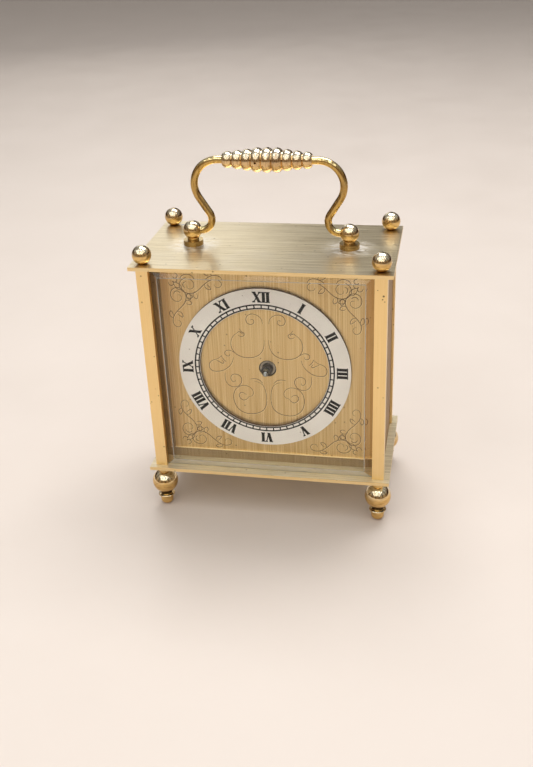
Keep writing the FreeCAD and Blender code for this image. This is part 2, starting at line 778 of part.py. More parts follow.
def make_motion_works():
    """Cannon pinion and arbor, minute wheel, hour wheel with its pipe, and setting shaft."""
    minute_phase = mesh_phase(CANNON_PINION, 0.0, MINUTE_WHEEL, MINUTE_DIRECTION)
    hour_phase = mesh_phase(MINUTE_PINION, 0.0, HOUR_WHEEL, MINUTE_DIRECTION + 180)
    setting_phase = mesh_phase(MINUTE_WHEEL, minute_phase, SETTING_PINION, SETTING_DIRECTION)

    arbor = new_body("minute_arbor")
    shaft = new_sketch(arbor, "XY_Plane")
    radius = size("arbor_radius")
    tip = -size("dial_thickness") - size("arbor_reach")
    tail = DRIVE_LAYER + size("wheel_thickness") + ARBOR_TAIL
    draw_outline(shaft, [point(0, tip), point(size("arbor_tip_radius"), tip),
                         point(radius, tip + size("arbor_tip_length")),
                         point(radius, tail), point(0, tail)])
    turn(arbor, shaft, "V_Axis")
    gear_layer(arbor, CANNON_PINION, 0.0, MINUTE_LAYER, "pinion_length")
    at_arbor(arbor, CENTRE, "minute_arbor")

    wheel = new_body("minute_wheel")
    gear_layer(wheel, MINUTE_WHEEL, minute_phase, MINUTE_LAYER, "wheel_thickness")
    gear_layer(wheel, MINUTE_PINION, 0.0, f"{MINUTE_LAYER} - pinion_length", "pinion_length")
    round_layer(wheel, "pivot_radius", "movement_wall - pivot_depth",
                "bridge_place + pivot_depth - (movement_wall - pivot_depth)")
    at_arbor(wheel, MINUTE, "minute_wheel")

    hour = new_body("hour_wheel")
    gear_layer(hour, HOUR_WHEEL, hour_phase, HOUR_LAYER, "wheel_thickness")
    pipe_front = "(-dial_thickness - pipe_reach)"
    round_layer(hour, "pipe_radius", pipe_front, f"{HOUR_LAYER} - {pipe_front} + wheel_thickness / 2")
    bore_through(hour, "pipe_bore_radius", pipe_front, "movement_depth")
    at_arbor(hour, CENTRE, "hour_wheel")

    knob = new_body("setting_knob")
    shaft_end = "movement_depth + pivot_depth"
    gear_layer(knob, SETTING_PINION, setting_phase, MINUTE_LAYER, "wheel_thickness")
    round_layer(knob, "pivot_radius", "movement_wall - pivot_depth",
                f"{MINUTE_LAYER} - movement_wall + pivot_depth + wheel_thickness / 2")
    round_layer(knob, "setting_shaft_radius", f"{MINUTE_LAYER} + wheel_thickness / 2",
                f"{shaft_end} - {MINUTE_LAYER}")
    round_layer(knob, "setting_knob_radius", shaft_end, "setting_knob_height")
    at_arbor(knob, SETTING, "setting_knob")


def make_train_arbor(node, arbor, pinion, pinion_phase, pinion_depth, wheel, wheel_phase, wheel_depth):
    """A wheel and its pinion on one arbor that turns in the bridge and in the rear cover."""
    body = new_body(node)
    round_layer(body, "pivot_radius", f"{BRIDGE_BACK} - pivot_depth",
                f"{REAR_PIVOT_END} - {BRIDGE_BACK} + pivot_depth")
    gear_layer(body, pinion, pinion_phase, pinion_depth - PINION_LEAD, "pinion_length")
    if wheel:
        gear_layer(body, wheel, wheel_phase, wheel_depth, "wheel_thickness")
    else:
        round_layer(body, "magnet_radius", wheel_depth, "3 * wheel_thickness")
    return at_arbor(body, arbor, node)


def make_time_train():
    """Rotor, intermediate, seconds and third wheels down to the drive wheel on the centre arbor."""
    third_phase = mesh_phase(DRIVE_WHEEL, 0.0, THIRD_PINION, THIRD_DIRECTION)
    seconds_phase = mesh_phase(THIRD_WHEEL, 0.0, SECONDS_PINION, SECONDS_DIRECTION)
    intermediate_phase = mesh_phase(SECONDS_WHEEL, 0.0, INTERMEDIATE_PINION, INTERMEDIATE_DIRECTION)
    rotor_phase = mesh_phase(INTERMEDIATE_WHEEL, 0.0, ROTOR_PINION, ROTOR_DIRECTION)

    drive = new_body("drive_wheel")
    gear_layer(drive, DRIVE_WHEEL, 0.0, DRIVE_LAYER, "wheel_thickness")
    bore_through(drive, "pipe_bore_radius", DRIVE_LAYER, "wheel_thickness * 2")
    at_arbor(drive, CENTRE, "drive_wheel")

    make_train_arbor("third_wheel", THIRD, THIRD_PINION, third_phase, DRIVE_LAYER,
                     THIRD_WHEEL, 0.0, THIRD_LAYER)
    make_train_arbor("seconds_wheel", SECONDS, SECONDS_PINION, seconds_phase, THIRD_LAYER,
                     SECONDS_WHEEL, 0.0, SECONDS_LAYER)
    make_train_arbor("intermediate_wheel", INTERMEDIATE, INTERMEDIATE_PINION, intermediate_phase,
                     SECONDS_LAYER, INTERMEDIATE_WHEEL, 0.0, INTERMEDIATE_LAYER)
    make_train_arbor("rotor", ROTOR, ROTOR_PINION, rotor_phase, INTERMEDIATE_LAYER,
                     None, 0.0, MAGNET_LAYER)


def hole_at(arbor, radius, depth, length):
    """A hole along Y on an arbor's line, `depth` behind the front of the movement."""
    return cylinder(radius, length, arbor[0], f"{DIAL_BACK} + {depth}",
                    f"{DIAL_CENTRE} + {arbor[1]}", "y")


def make_movement_housing():
    """The case with its gear chamber and battery bay, the bridge, the rear cover and the bush."""
    inner = "(movement_width - 2 * movement_wall)"
    inner_top = f"({DIAL_CENTRE} + {inner} / 2)"
    inner_foot = f"({DIAL_CENTRE} - {inner} / 2)"
    chamber_foot = f"({DIAL_CENTRE} - bay_wall_drop)"
    bay_top = f"({chamber_foot} - bay_wall)"
    front = DIAL_BACK
    train = (THIRD, SECONDS, INTERMEDIATE, ROTOR)

    block = box("movement_width", "movement_depth", "movement_width",
                0, f"{front} + movement_depth / 2", f"{DIAL_CENTRE} - movement_width / 2")
    chamber = box(inner, "movement_depth", f"{inner_top} - {chamber_foot}",
                  0, f"{front} + movement_wall + movement_depth / 2", chamber_foot)
    bay = box(inner, "movement_depth", f"{bay_top} - {inner_foot}",
              0, f"{front} + movement_wall + movement_depth / 2", inner_foot)
    pivots = [hole_at(arbor, "pivot_hole_radius", "movement_wall - pivot_hole_depth",
                      "pivot_hole_depth * 2") for arbor in (MINUTE, SETTING)]
    neck = hole_at(CENTRE, "bush_radius + seat_clearance / 2", "-movement_wall", "movement_wall * 3")
    keep(cut(block, chamber, bay, neck, *pivots), "movement_case")

    lid_width = f"({inner} - 2 * seat_clearance)"
    lid_height = f"({inner_top} - {chamber_foot} - 2 * seat_clearance)"
    lid_foot = f"({chamber_foot} + seat_clearance)"
    bridge = box(lid_width, "bridge_thickness", lid_height,
                 0, f"{front} + bridge_place + bridge_thickness / 2", lid_foot)
    drills = [hole_at(arbor, "pivot_hole_radius", 0, "movement_depth") for arbor in train + (MINUTE,)]
    drills.append(hole_at(CENTRE, "pipe_bore_radius", 0, "movement_depth"))
    drills.append(hole_at(SETTING, "setting_bore_radius", 0, "movement_depth"))
    keep(cut(bridge, *drills), "movement_bridge")

    cover = box(lid_width, "movement_wall", lid_height,
                0, f"{front} + movement_depth - movement_wall / 2", lid_foot)
    seats = [hole_at(arbor, "pivot_hole_radius", "movement_depth - movement_wall * 2",
                     "movement_wall + pivot_hole_depth") for arbor in train]
    seats.append(hole_at(SETTING, "setting_bore_radius", 0, "movement_depth * 2"))
    keep(cut(cover, *seats), "movement_cover")

    bush_length = "(dial_thickness - bush_setback + movement_wall)"
    bush = hole_at(CENTRE, "bush_radius", "bush_setback - dial_thickness", bush_length)
    bore = hole_at(CENTRE, "bush_bore_radius", "-movement_depth", "movement_depth * 2")
    keep(cut(bush, bore), "centre_bush")


def make_motor_and_board():
    """The stepping motor's stator and coil beside the rotor, and the circuit board."""
    rotor_z = f"({DIAL_CENTRE} + {ROTOR[1]})"
    stator_width = "(4 * magnet_radius + 4)"
    leg_width = "(magnet_radius + 1)"
    stator_top = f"({rotor_z} + magnet_radius + 2)"
    stator_foot = f"({DIAL_CENTRE} - bay_wall_drop + stator_rise)"
    stator_y = f"({DIAL_BACK} + {STATOR_LAYER} + wheel_thickness / 2)"
    window_top = f"({rotor_z} - magnet_radius - 2)"
    coil_z = f"({stator_foot} + core_rise)"
    coil_y = f"({stator_y} + wheel_thickness)"

    sheet_metal = box(stator_width, "wheel_thickness", f"{stator_top} - {stator_foot}",
                      ROTOR[0], stator_y, stator_foot)
    window = box(f"{stator_width} - 2 * {leg_width}", "wheel_thickness * 3",
                 f"{window_top} - {stator_foot} + 1", ROTOR[0], stator_y, f"{stator_foot} - 1")
    eye = hole_at(ROTOR, "magnet_radius + stator_gap", STATOR_LAYER - 1, "wheel_thickness + 2")
    keep(cut(sheet_metal, window, eye), "stator")

    core = box(stator_width, "wheel_thickness", "core_height",
               ROTOR[0], coil_y, f"{coil_z} - core_height / 2")
    keep(core, "coil_core")

    slot_height = "(core_height + seat_clearance)"
    winding_length = f"({stator_width} - 2 * {leg_width} - 2 * winding_end_gap)"
    winding = cylinder("winding_radius", winding_length,
                       f"{ROTOR[0]} - {winding_length} / 2", coil_y, coil_z, "x")
    slot = box(stator_width, "wheel_thickness + seat_clearance", slot_height,
               ROTOR[0], coil_y, f"{coil_z} - {slot_height} / 2")
    keep(cut(winding, slot), "coil_winding")

    board = box("board_width", "wheel_thickness", "board_height", "board_shift",
                f"{DIAL_BACK} + board_depth", f"{DIAL_CENTRE} + board_rise")
    keep(board, "circuit_board")


def make_battery():
    """A round cell lying in its bay between two spring contacts."""
    centre_y = f"({CASE_FLOOR} + battery_gap + battery_radius)"
    centre_z = f"({DIAL_CENTRE} - battery_drop)"
    half = "(battery_length / 2)"
    button_end = f"({half} + battery_button_length)"
    bay_end = "(movement_width / 2 - movement_wall)"
    blade_foot = f"{centre_z} - contact_width / 2"
    barrel = cylinder("battery_radius", "battery_length", f"-{half}", centre_y, centre_z, "x")
    button = cylinder("battery_button_radius", "battery_button_length",
                      half, centre_y, centre_z, "x")
    keep(fuse(barrel, button), "battery")

    blade = box("contact_thickness", "contact_width", "contact_width",
                f"{bay_end} - contact_thickness / 2", centre_y, blade_foot)
    dimple = cylinder("contact_dimple_radius", f"{bay_end} - {button_end} - contact_thickness",
                      button_end, centre_y, centre_z, "x")
    keep(fuse(blade, dimple), "contact_positive")

    blade = box("contact_thickness", "contact_width", "contact_width",
                f"-({bay_end} - contact_thickness / 2)", centre_y, blade_foot)
    spring = cone("spring_radius", "spring_tip_radius", f"{bay_end} - {half} - contact_thickness",
                  f"-{bay_end} + contact_thickness", centre_y, centre_z, "x")
    keep(fuse(blade, spring), "contact_negative")


# ------------------------------------------------------------------ build, check and write
make_plates()
make_pillars()
make_feet_and_finials()
make_front_glass()
make_side_panels()
make_rear_door()
make_handle_posts()
make_handle_rod()
make_handle_grip()
make_dial()
make_dial_borders()
make_dial_blocks()
make_movement_housing()
make_motion_works()
make_time_train()
make_motor_and_board()
make_battery()
doc.recompute()

for thing in doc.Objects:
    if "Invalid" in thing.State or "Error" in thing.State:
        raise RuntimeError(f"{thing.Name} ({thing.Label}) did not compute: {thing.State}")
for thing in nodes:
    if thing.Shape.isNull() or not thing.Shape.isValid() or not thing.Shape.Solids:
        raise RuntimeError(f"{thing.Label} has no valid solid")

os.makedirs("parts", exist_ok=True)
for thing in nodes:
    thing.Shape.exportStep(f"parts/{thing.Label}.step")
    box_of = thing.Shape.BoundBox
    print(f"{thing.Label:24s} {thing.Shape.Volume:10.2f} mm3  solids {len(thing.Shape.Solids)}"
          f"  x {box_of.XMin:7.2f} {box_of.XMax:7.2f}  y {box_of.YMin:7.2f} {box_of.YMax:7.2f}"
          f"  z {box_of.ZMin:7.2f} {box_of.ZMax:7.2f}")
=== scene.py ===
"""Looks for the brass mantel clock: printed dial, engraving, materials, light and camera."""

import math

import bmesh
import bpy
from mathutils import Matrix, Vector


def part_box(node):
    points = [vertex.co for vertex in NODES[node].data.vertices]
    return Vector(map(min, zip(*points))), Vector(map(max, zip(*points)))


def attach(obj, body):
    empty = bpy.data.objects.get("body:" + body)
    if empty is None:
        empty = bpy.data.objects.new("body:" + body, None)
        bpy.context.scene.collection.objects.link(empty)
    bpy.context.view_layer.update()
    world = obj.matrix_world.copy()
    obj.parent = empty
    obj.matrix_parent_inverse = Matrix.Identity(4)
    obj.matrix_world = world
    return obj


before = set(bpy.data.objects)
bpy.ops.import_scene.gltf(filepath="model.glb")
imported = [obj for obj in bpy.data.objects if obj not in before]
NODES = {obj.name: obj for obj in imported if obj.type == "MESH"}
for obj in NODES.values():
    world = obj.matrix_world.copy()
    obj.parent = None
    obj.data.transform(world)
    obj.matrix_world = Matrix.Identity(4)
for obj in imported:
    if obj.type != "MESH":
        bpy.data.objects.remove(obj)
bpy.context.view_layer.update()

MM = 0.001
X_AXIS, Y_AXIS, Z_AXIS = range(3)
RING_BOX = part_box("chapter_ring")
DIAL_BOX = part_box("dial_plate")
DIAL_Z = (RING_BOX[0].z + RING_BOX[1].z) / 2
RING_X = (RING_BOX[0].x + RING_BOX[1].x) / 2
RING_FRONT = RING_BOX[0].y
DIAL_FRONT = DIAL_BOX[0].y


# ---------------------------------------------------------------- flat pieces on the dial


# How far the flat pieces reach into the face they lie on, so that no gap shows.
SUNK = 0.01


class FlatPiece:
    """Collects thin closed shapes that lie on an upright face and stand slightly proud of it.

    Shapes are given in millimetres from the middle, x to the right and z up.
    """

    def __init__(self, name, middle_x, face):
        self.name = name
        self.middle_x = middle_x
        self.face = face
        self.verts = []
        self.faces = []

    def place(self, x, z, proud):
        """A point on the face in metres, the given distance in front of it."""
        return (self.middle_x + x * MM, self.face - proud * MM, DIAL_Z + z * MM)

    def polygon(self, outline, proud):
        """A closed outline, extruded from just inside the face to just in front of it."""
        first = len(self.verts)
        count = len(outline)
        self.verts += [self.place(x, z, proud) for x, z in outline]
        self.verts += [self.place(x, z, -SUNK) for x, z in outline]
        front = list(range(first, first + count))
        back = list(range(first + count, first + 2 * count))
        self.faces.append(front)
        self.faces.append(back[::-1])
        for i in range(count):
            j = (i + 1) % count
            self.faces.append([front[j], front[i], back[i], back[j]])

    def ribbon(self, points, widths, proud, closed=False):
        """A line of varying width along a run of points."""
        count = len(points)
        sections = []
        for i, (x, z) in enumerate(points):
            before = points[(i - 1) % count] if closed or i > 0 else points[i]
            after = points[(i + 1) % count] if closed or i < count - 1 else points[i]
            dx, dz = after[0] - before[0], after[1] - before[1]
            length = math.hypot(dx, dz) or 1.0
            nx, nz = -dz / length, dx / length
            half = widths[i] / 2
            left = (x + nx * half, z + nz * half)
            right = (x - nx * half, z - nz * half)
            first = len(self.verts)
            self.verts += [
                self.place(*left, proud),
                self.place(*right, proud),
                self.place(*right, -SUNK),
                self.place(*left, -SUNK),
            ]
            sections.append([first, first + 1, first + 2, first + 3])
        pairs = list(zip(sections, sections[1:]))
        if closed:
            pairs.append((sections[-1], sections[0]))
        for a, b in pairs:
            for k in range(4):
                self.faces.append([a[k], b[k], b[(k + 1) % 4], a[(k + 1) % 4]])
        if not closed:
            self.faces.append(sections[0])
            self.faces.append(sections[-1][::-1])

    def build(self, material):
        """Makes the collected shapes into one mesh that moves with the case."""
        mesh = bpy.data.meshes.new(self.name)
        mesh.from_pydata(self.verts, [], self.faces)
        mesh.validate()
        shape = bmesh.new()
        shape.from_mesh(mesh)
        bmesh.ops.recalc_face_normals(shape, faces=shape.faces)
        shape.to_mesh(mesh)
        shape.free()
        obj = bpy.data.objects.new(self.name, mesh)
        bpy.context.scene.collection.objects.link(obj)
        mesh.materials.append(material)
        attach(obj, "case")


def smooth_line(points, steps=10):
    """Points along a smooth curve through the given ones."""
    padded = [points[0]] + list(points) + [points[-1]]
    line = []
    for p0, p1, p2, p3 in zip(padded, padded[1:], padded[2:], padded[3:]):
        for k in range(steps):
            t = k / steps
            line.append(
                tuple(
                    0.5
                    * (
                        2 * b
                        + (c - a) * t
                        + (2 * a - 5 * b + 4 * c - d) * t**2
                        + (3 * b - a - 3 * c + d) * t**3
                    )
                    for a, b, c, d in zip(p0, p1, p2, p3)
                )
            )
    line.append(points[-1])
    return line


def tapered(count, widest, ends=0.35):
    """Line widths that swell in the middle and thin out at both ends, as a graver cuts."""
    return [
        widest * (ends + (1 - ends) * math.sin(math.pi * i / (count - 1)) ** 0.6)
        for i in range(count)
    ]


# Half of the centre engraving, left of the middle; the right half mirrors it.
CENTRE_STROKES = [
    # small spiral under the twelve
    [(-1.4, 21.0), (-1.7, 22.8), (-2.7, 24.3), (-4.3, 25.2), (-6.3, 25.4), (-8.0, 24.4),
     (-8.6, 22.8), (-8.2, 21.3), (-7.0, 20.5), (-5.7, 20.8), (-5.1, 21.9), (-5.8, 22.9),
     (-6.9, 22.6)],
    # large upper curve
    [(-1.0, 13.4), (-1.1, 11.0), (-1.7, 8.6), (-3.1, 6.4), (-5.3, 5.0), (-7.8, 4.4),
     (-10.4, 4.5), (-12.7, 5.3), (-14.6, 6.8), (-15.7, 9.0), (-15.9, 11.3), (-15.3, 13.6),
     (-14.0, 15.3), (-12.7, 16.3)],
    # its leaf
    [(-12.5, 15.2), (-11.1, 14.5), (-9.9, 15.0), (-9.8, 16.2), (-10.9, 16.9), (-11.8, 18.3)],
    [(-13.1, 16.0), (-12.0, 16.8), (-10.9, 16.3), (-10.4, 15.6)],
    # bud between the upper curve and the side oval
    [(-14.6, 6.5), (-15.7, 7.3), (-17.3, 7.6), (-18.6, 7.0), (-18.9, 5.8), (-18.0, 4.8),
     (-16.8, 5.0), (-16.7, 5.9)],
    # side oval
    [(-15.1, 4.2), (-15.6, 2.4), (-16.6, 0.5), (-18.2, -1.2), (-20.2, -2.5), (-22.5, -3.1),
     (-24.8, -3.0), (-26.0, -2.0), (-26.4, -0.4), (-25.9, 1.2), (-24.4, 2.4), (-22.3, 3.2),
     (-20.4, 4.8)],
    # leaf inside the oval
    [(-20.6, 4.9), (-20.0, 3.5), (-19.1, 2.4), (-18.5, 1.9)],
    [(-23.0, 2.4), (-21.6, 1.7), (-20.2, 1.0), (-19.6, 1.6), (-20.4, 2.6)],
    # lower spiral
    [(-19.4, -3.6), (-19.5, -6.0), (-19.0, -8.3), (-17.6, -10.0), (-15.6, -10.6),
     (-13.5, -9.9), (-12.2, -8.2), (-12.0, -6.2), (-12.9, -4.7), (-14.7, -4.1),
     (-16.3, -4.7), (-16.9, -6.2), (-16.3, -7.7), (-15.2, -8.0), (-14.8, -7.0)],
    # large lower curve, from its hook by the arbor to its inner curl
    [(-6.2, -7.3), (-4.1, -7.7), (-2.5, -8.9), (-1.6, -10.8), (-1.1, -13.5), (-1.0, -16.8),
     (-1.5, -19.6), (-2.8, -21.8), (-5.0, -23.3), (-7.6, -23.9), (-10.3, -23.9),
     (-12.7, -23.0), (-14.6, -21.2), (-15.7, -18.8), (-16.1, -16.0), (-15.7, -13.3),
     (-14.6, -11.4), (-13.0, -10.1), (-11.1, -9.6), (-9.2, -9.9), (-7.6, -11.1),
     (-6.9, -12.9), (-7.6, -14.6), (-9.3, -15.3)],
    [(-9.2, -15.2), (-10.0, -16.4), (-11.5, -17.1), (-13.0, -16.2), (-13.5, -14.6),
     (-12.6, -13.3), (-11.2, -13.5), (-10.2, -14.3)],
    # second hook
    [(-2.5, -8.0), (-3.9, -6.5), (-5.8, -5.9), (-8.1, -6.2)],
]

# One side of the upper right corner; the other side mirrors it about the corner's diagonal,
# and the four corners mirror each other.
CORNER_STROKES = [
    [(39.1, 21.6), (38.1, 21.3), (37.6, 20.1), (38.1, 18.9), (39.2, 18.4), (40.4, 18.9),
     (41.1, 20.2), (41.2, 21.8), (40.7, 23.4), (39.7, 25.0), (38.1, 26.8), (36.5, 28.4),
     (35.2, 30.1), (34.5, 32.0), (34.6, 34.1), (35.6, 35.9), (37.3, 36.9), (39.1, 36.8),
     (40.6, 35.8), (41.3, 34.0), (41.0, 32.1), (39.8, 30.8), (38.3, 30.5), (37.0, 31.2),
     (36.5, 32.4), (37.0, 33.5), (38.2, 33.6)],
    [(41.9, 39.4), (41.2, 38.1), (40.0, 38.0), (39.4, 39.0), (40.0, 39.9)],
    [(36.0, 36.4), (36.3, 37.8), (37.4, 38.9), (38.9, 39.5)],
    # leaves on the stem and in the curls
    [(36.9, 34.6), (38.0, 35.4), (39.3, 35.1), (39.9, 34.0)],
    [(35.4, 30.4), (34.2, 31.2), (32.9, 31.0), (32.1, 29.8), (33.2, 29.2), (34.6, 29.7)],
    [(34.7, 33.4), (33.4, 34.2), (32.2, 33.8), (31.6, 32.7), (32.8, 32.2), (34.2, 32.7)],
    [(38.9, 25.8), (37.6, 25.6), (36.7, 24.6), (36.6, 23.2), (37.8, 23.7), (38.9, 24.8)],
    [(40.9, 22.6), (42.2, 23.4), (42.5, 24.9), (41.8, 26.0), (41.0, 24.8), (40.7, 23.6)],
]

ENGRAVED_WIDTH = 0.34
ENGRAVED_PROUD = 0.012
CENTRE_RISE = 0.5
# The glints are painted highlights: pale lines beside the cuts where light would catch their edges.
GLINT_WIDTH = 0.26
GLINT_SHIFT = (0.24, -0.2)
GLINT_ENDS = 0.1

engraving = FlatPiece("dial_engraving", 0.0, DIAL_FRONT)
glints = FlatPiece("dial_engraving_glints", 0.0, DIAL_FRONT)


def engrave(points):
    """A cut line, with a pale painted highlight beside it where the cut's lower edge would catch
    light.
    """
    line = smooth_line(points)
    engraving.ribbon(line, tapered(len(line), ENGRAVED_WIDTH), ENGRAVED_PROUD)
    edge = [(x + GLINT_SHIFT[0], z + GLINT_SHIFT[1]) for x, z in line]
    glints.ribbon(edge, tapered(len(edge), GLINT_WIDTH, GLINT_ENDS), ENGRAVED_PROUD / 2)


for stroke in CENTRE_STROKES:
    for side in (1, -1):
        engrave([(side * x, z + CENTRE_RISE) for x, z in stroke])
for stroke in CORNER_STROKES:
    for side_x in (1, -1):
        for side_z in (1, -1):
            engrave([(side_x * x, side_z * z) for x, z in stroke])
            engrave([(side_x * z, side_z * x) for x, z in stroke])


# ---------------------------------------------------------------- painted highlight line along the pane's bevel

BEVEL_WIDTH = 3.5
ARRIS_HIGHLIGHT_WIDTH = 0.3

pane_low, pane_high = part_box("front_glass")
pillar_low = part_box("pillar_front_right")[0]
pane_arris_highlight = FlatPiece("pane_arris_highlight", 0.0, pane_low.y)


def paint_arris_highlight():
    """A painted highlight line where the flat of the pane turns into its bevel, on all four sides.
    """
    reach = pillar_low.x / MM - BEVEL_WIDTH
    foot = (pane_low.z - DIAL_Z) / MM + BEVEL_WIDTH
    head = (pane_high.z - DIAL_Z) / MM - BEVEL_WIDTH
    corners = [(-reach, foot), (reach, foot), (reach, head), (-reach, head)]
    for start, end in zip(corners, corners[1:] + corners[:1]):
        pane_arris_highlight.ribbon([start, end], [ARRIS_HIGHLIGHT_WIDTH] * 2, ENGRAVED_PROUD)


paint_arris_highlight()


# ---------------------------------------------------------------- minute track and numerals

PRINT_PROUD = 0.03
TRACK_OUTER = (30.7, 31.35)
TRACK_INNER = (29.05, 29.65)
TICK_WIDTH = 0.58
TICK_OVERLAP = 0.05
TICK_PROUD = PRINT_PROUD * 0.9
CIRCLE_STEPS = 240

track = FlatPiece("minute_track", RING_X, RING_FRONT)


def ring_line(inner, outer):
    """A printed circle between two radii."""
    radius = (inner + outer) / 2
    points = []
    for i in range(CIRCLE_STEPS):
        angle = 2 * math.pi * i / CIRCLE_STEPS
        points.append((radius * math.sin(angle), radius * math.cos(angle)))
    track.ribbon(points, [outer - inner] * CIRCLE_STEPS, PRINT_PROUD, closed=True)


ring_line(*TRACK_OUTER)
ring_line(*TRACK_INNER)
for minute in range(60):
    angle = 2 * math.pi * minute / 60
    ends = [
        (radius * math.sin(angle), radius * math.cos(angle))
        for radius in (TRACK_INNER[1] - TICK_OVERLAP, TRACK_OUTER[0] + TICK_OVERLAP)
    ]
    track.ribbon(ends, [TICK_WIDTH] * 2, TICK_PROUD)

NUMERAL_FOOT = 32.1
NUMERAL_HEIGHT = 4.9
THICK = 1.34
THIN = 0.52
SERIF = 0.36
SERIF_WAIST = 0.45
SERIF_DEPTH = 1.9
THICK_INSET = 0.85
THICK_SERIF = 1.7
V_THIN_INSET = 0.6
V_THIN_SERIF = 1.2
V_LEAN = 0.1
X_THIN_INSET = 0.7
X_THIN_SERIF = 1.3
ADVANCE = {"I": 1.82, "V": 3.6, "X": 4.1}
# Strokes that cross are printed one over the other, each a little prouder than the last.
LAYER_STEP = 0.001

numerals = FlatPiece("numerals", RING_X, RING_FRONT)


def slanted(x_low, x_high, width):
    """A sloping stroke from the foot of a numeral to its head."""
    half = width / 2
    return [
        (x_low - half, 0),
        (x_low + half, 0),
        (x_high + half, NUMERAL_HEIGHT),
        (x_high - half, NUMERAL_HEIGHT),
    ]


def serif(x, width, at_head):
    """A short bar across the end of a stroke, with its corners worked in towards it."""
    base = NUMERAL_HEIGHT if at_head else 0
    inward = -1 if at_head else 1
    half = width / 2
    return [
        (x - half, base),
        (x + half, base),
        (x + half, base + inward * SERIF),
        (x + half * SERIF_WAIST, base + inward * SERIF * SERIF_DEPTH),
        (x - half * SERIF_WAIST, base + inward * SERIF * SERIF_DEPTH),
        (x - half, base + inward * SERIF),
    ]


def letter_shapes(letter):
    """The outlines of one letter, from its left edge, foot at zero."""
    width = ADVANCE[letter]
    middle = width / 2
    if letter == "I":
        return [
            slanted(middle, middle, THICK),
            serif(middle, width, True),
            serif(middle, width, False),
        ]
    if letter == "V":
        return [
            slanted(middle + V_LEAN, THICK_INSET, THICK),
            slanted(middle + V_LEAN, width - V_THIN_INSET, THIN),
            serif(THICK_INSET, THICK_SERIF, True),
            serif(width - V_THIN_INSET, V_THIN_SERIF, True),
        ]
    return [
        slanted(width - THICK_INSET, THICK_INSET, THICK),
        slanted(X_THIN_INSET, width - X_THIN_INSET, THIN),
        serif(THICK_INSET, THICK_SERIF, True),
        serif(width - X_THIN_INSET, X_THIN_SERIF, True),
        serif(X_THIN_INSET, X_THIN_SERIF, False),
        serif(width - THICK_INSET, THICK_SERIF, False),
    ]


HOURS = ["XII", "I", "II", "III", "IIII", "V", "VI", "VII", "VIII", "IX", "X", "XI"]
for hour, text in enumerate(HOURS):
    angle = 2 * math.pi * hour / 12
    cos_a, sin_a = math.cos(angle), math.sin(angle)
    x_start = -sum(ADVANCE[letter] for letter in text) / 2
    layer = 0
    for letter in text:
        for outline in letter_shapes(letter):
            turned = []
            for x, z in outline:
                along = x_start + x
                out = NUMERAL_FOOT + z
                turned.append((along * cos_a + out * sin_a, -along * sin_a + out * cos_a))
            numerals.polygon(turned, PRINT_PROUD + LAYER_STEP * layer)
            layer += 1
        x_start += ADVANCE[letter]


# ---------------------------------------------------------------- materials


def linear(colour):
    """A display colour from 0 to 255 as the linear values that a shader takes."""
    values = []
    for channel in colour:
        c = channel / 255
        values.append(c / 12.92 if c <= 0.04045 else ((c + 0.055) / 1.055) ** 2.4)
    return (*values, 1.0)


class Nodes:
    """A node tree, with short calls to add nodes to it and join them."""

    def __init__(self, tree):
        self.tree = tree

    def add(self, kind, **settings):
        """A new node, with its own settings given by name."""
        node = self.tree.nodes.new(kind)
        for key, value in settings.items():
            setattr(node, key, value)
        return node

    def feed(self, socket, value):
        """Joins an output to a socket, or sets the socket's own value."""
        if isinstance(value, bpy.types.NodeSocket):
            self.tree.links.new(value, socket)
        else:
            socket.default_value = value

    def span(self, value, low, high, to_low, to_high):
        """Maps a value from one range to another, held to the new range."""
        node = self.add("ShaderNodeMapRange")
        self.feed(node.inputs["Value"], value)
        node.inputs["From Min"].default_value = low
        node.inputs["From Max"].default_value = high
        node.inputs["To Min"].default_value = to_low
        node.inputs["To Max"].default_value = to_high
        return node.outputs["Result"]

    def maths(self, operation, a, b=0.0):
        """The result of one operation on two numbers or outputs."""
        node = self.add("ShaderNodeMath", operation=operation)
        self.feed(node.inputs[0], a)
        self.feed(node.inputs[1], b)
        return node.outputs[0]

    def mix(self, factor, a, b):
        """A blend of two colours."""
        node = self.add("ShaderNodeMix", data_type="RGBA")
        self.feed(node.inputs["Factor"], factor)
        self.feed(node.inputs["A"], a)
        self.feed(node.inputs["B"], b)
        return node.outputs["Result"]


# Most of a noise texture's values lie between these two.
NOISE_SPAN = (0.3, 0.7)


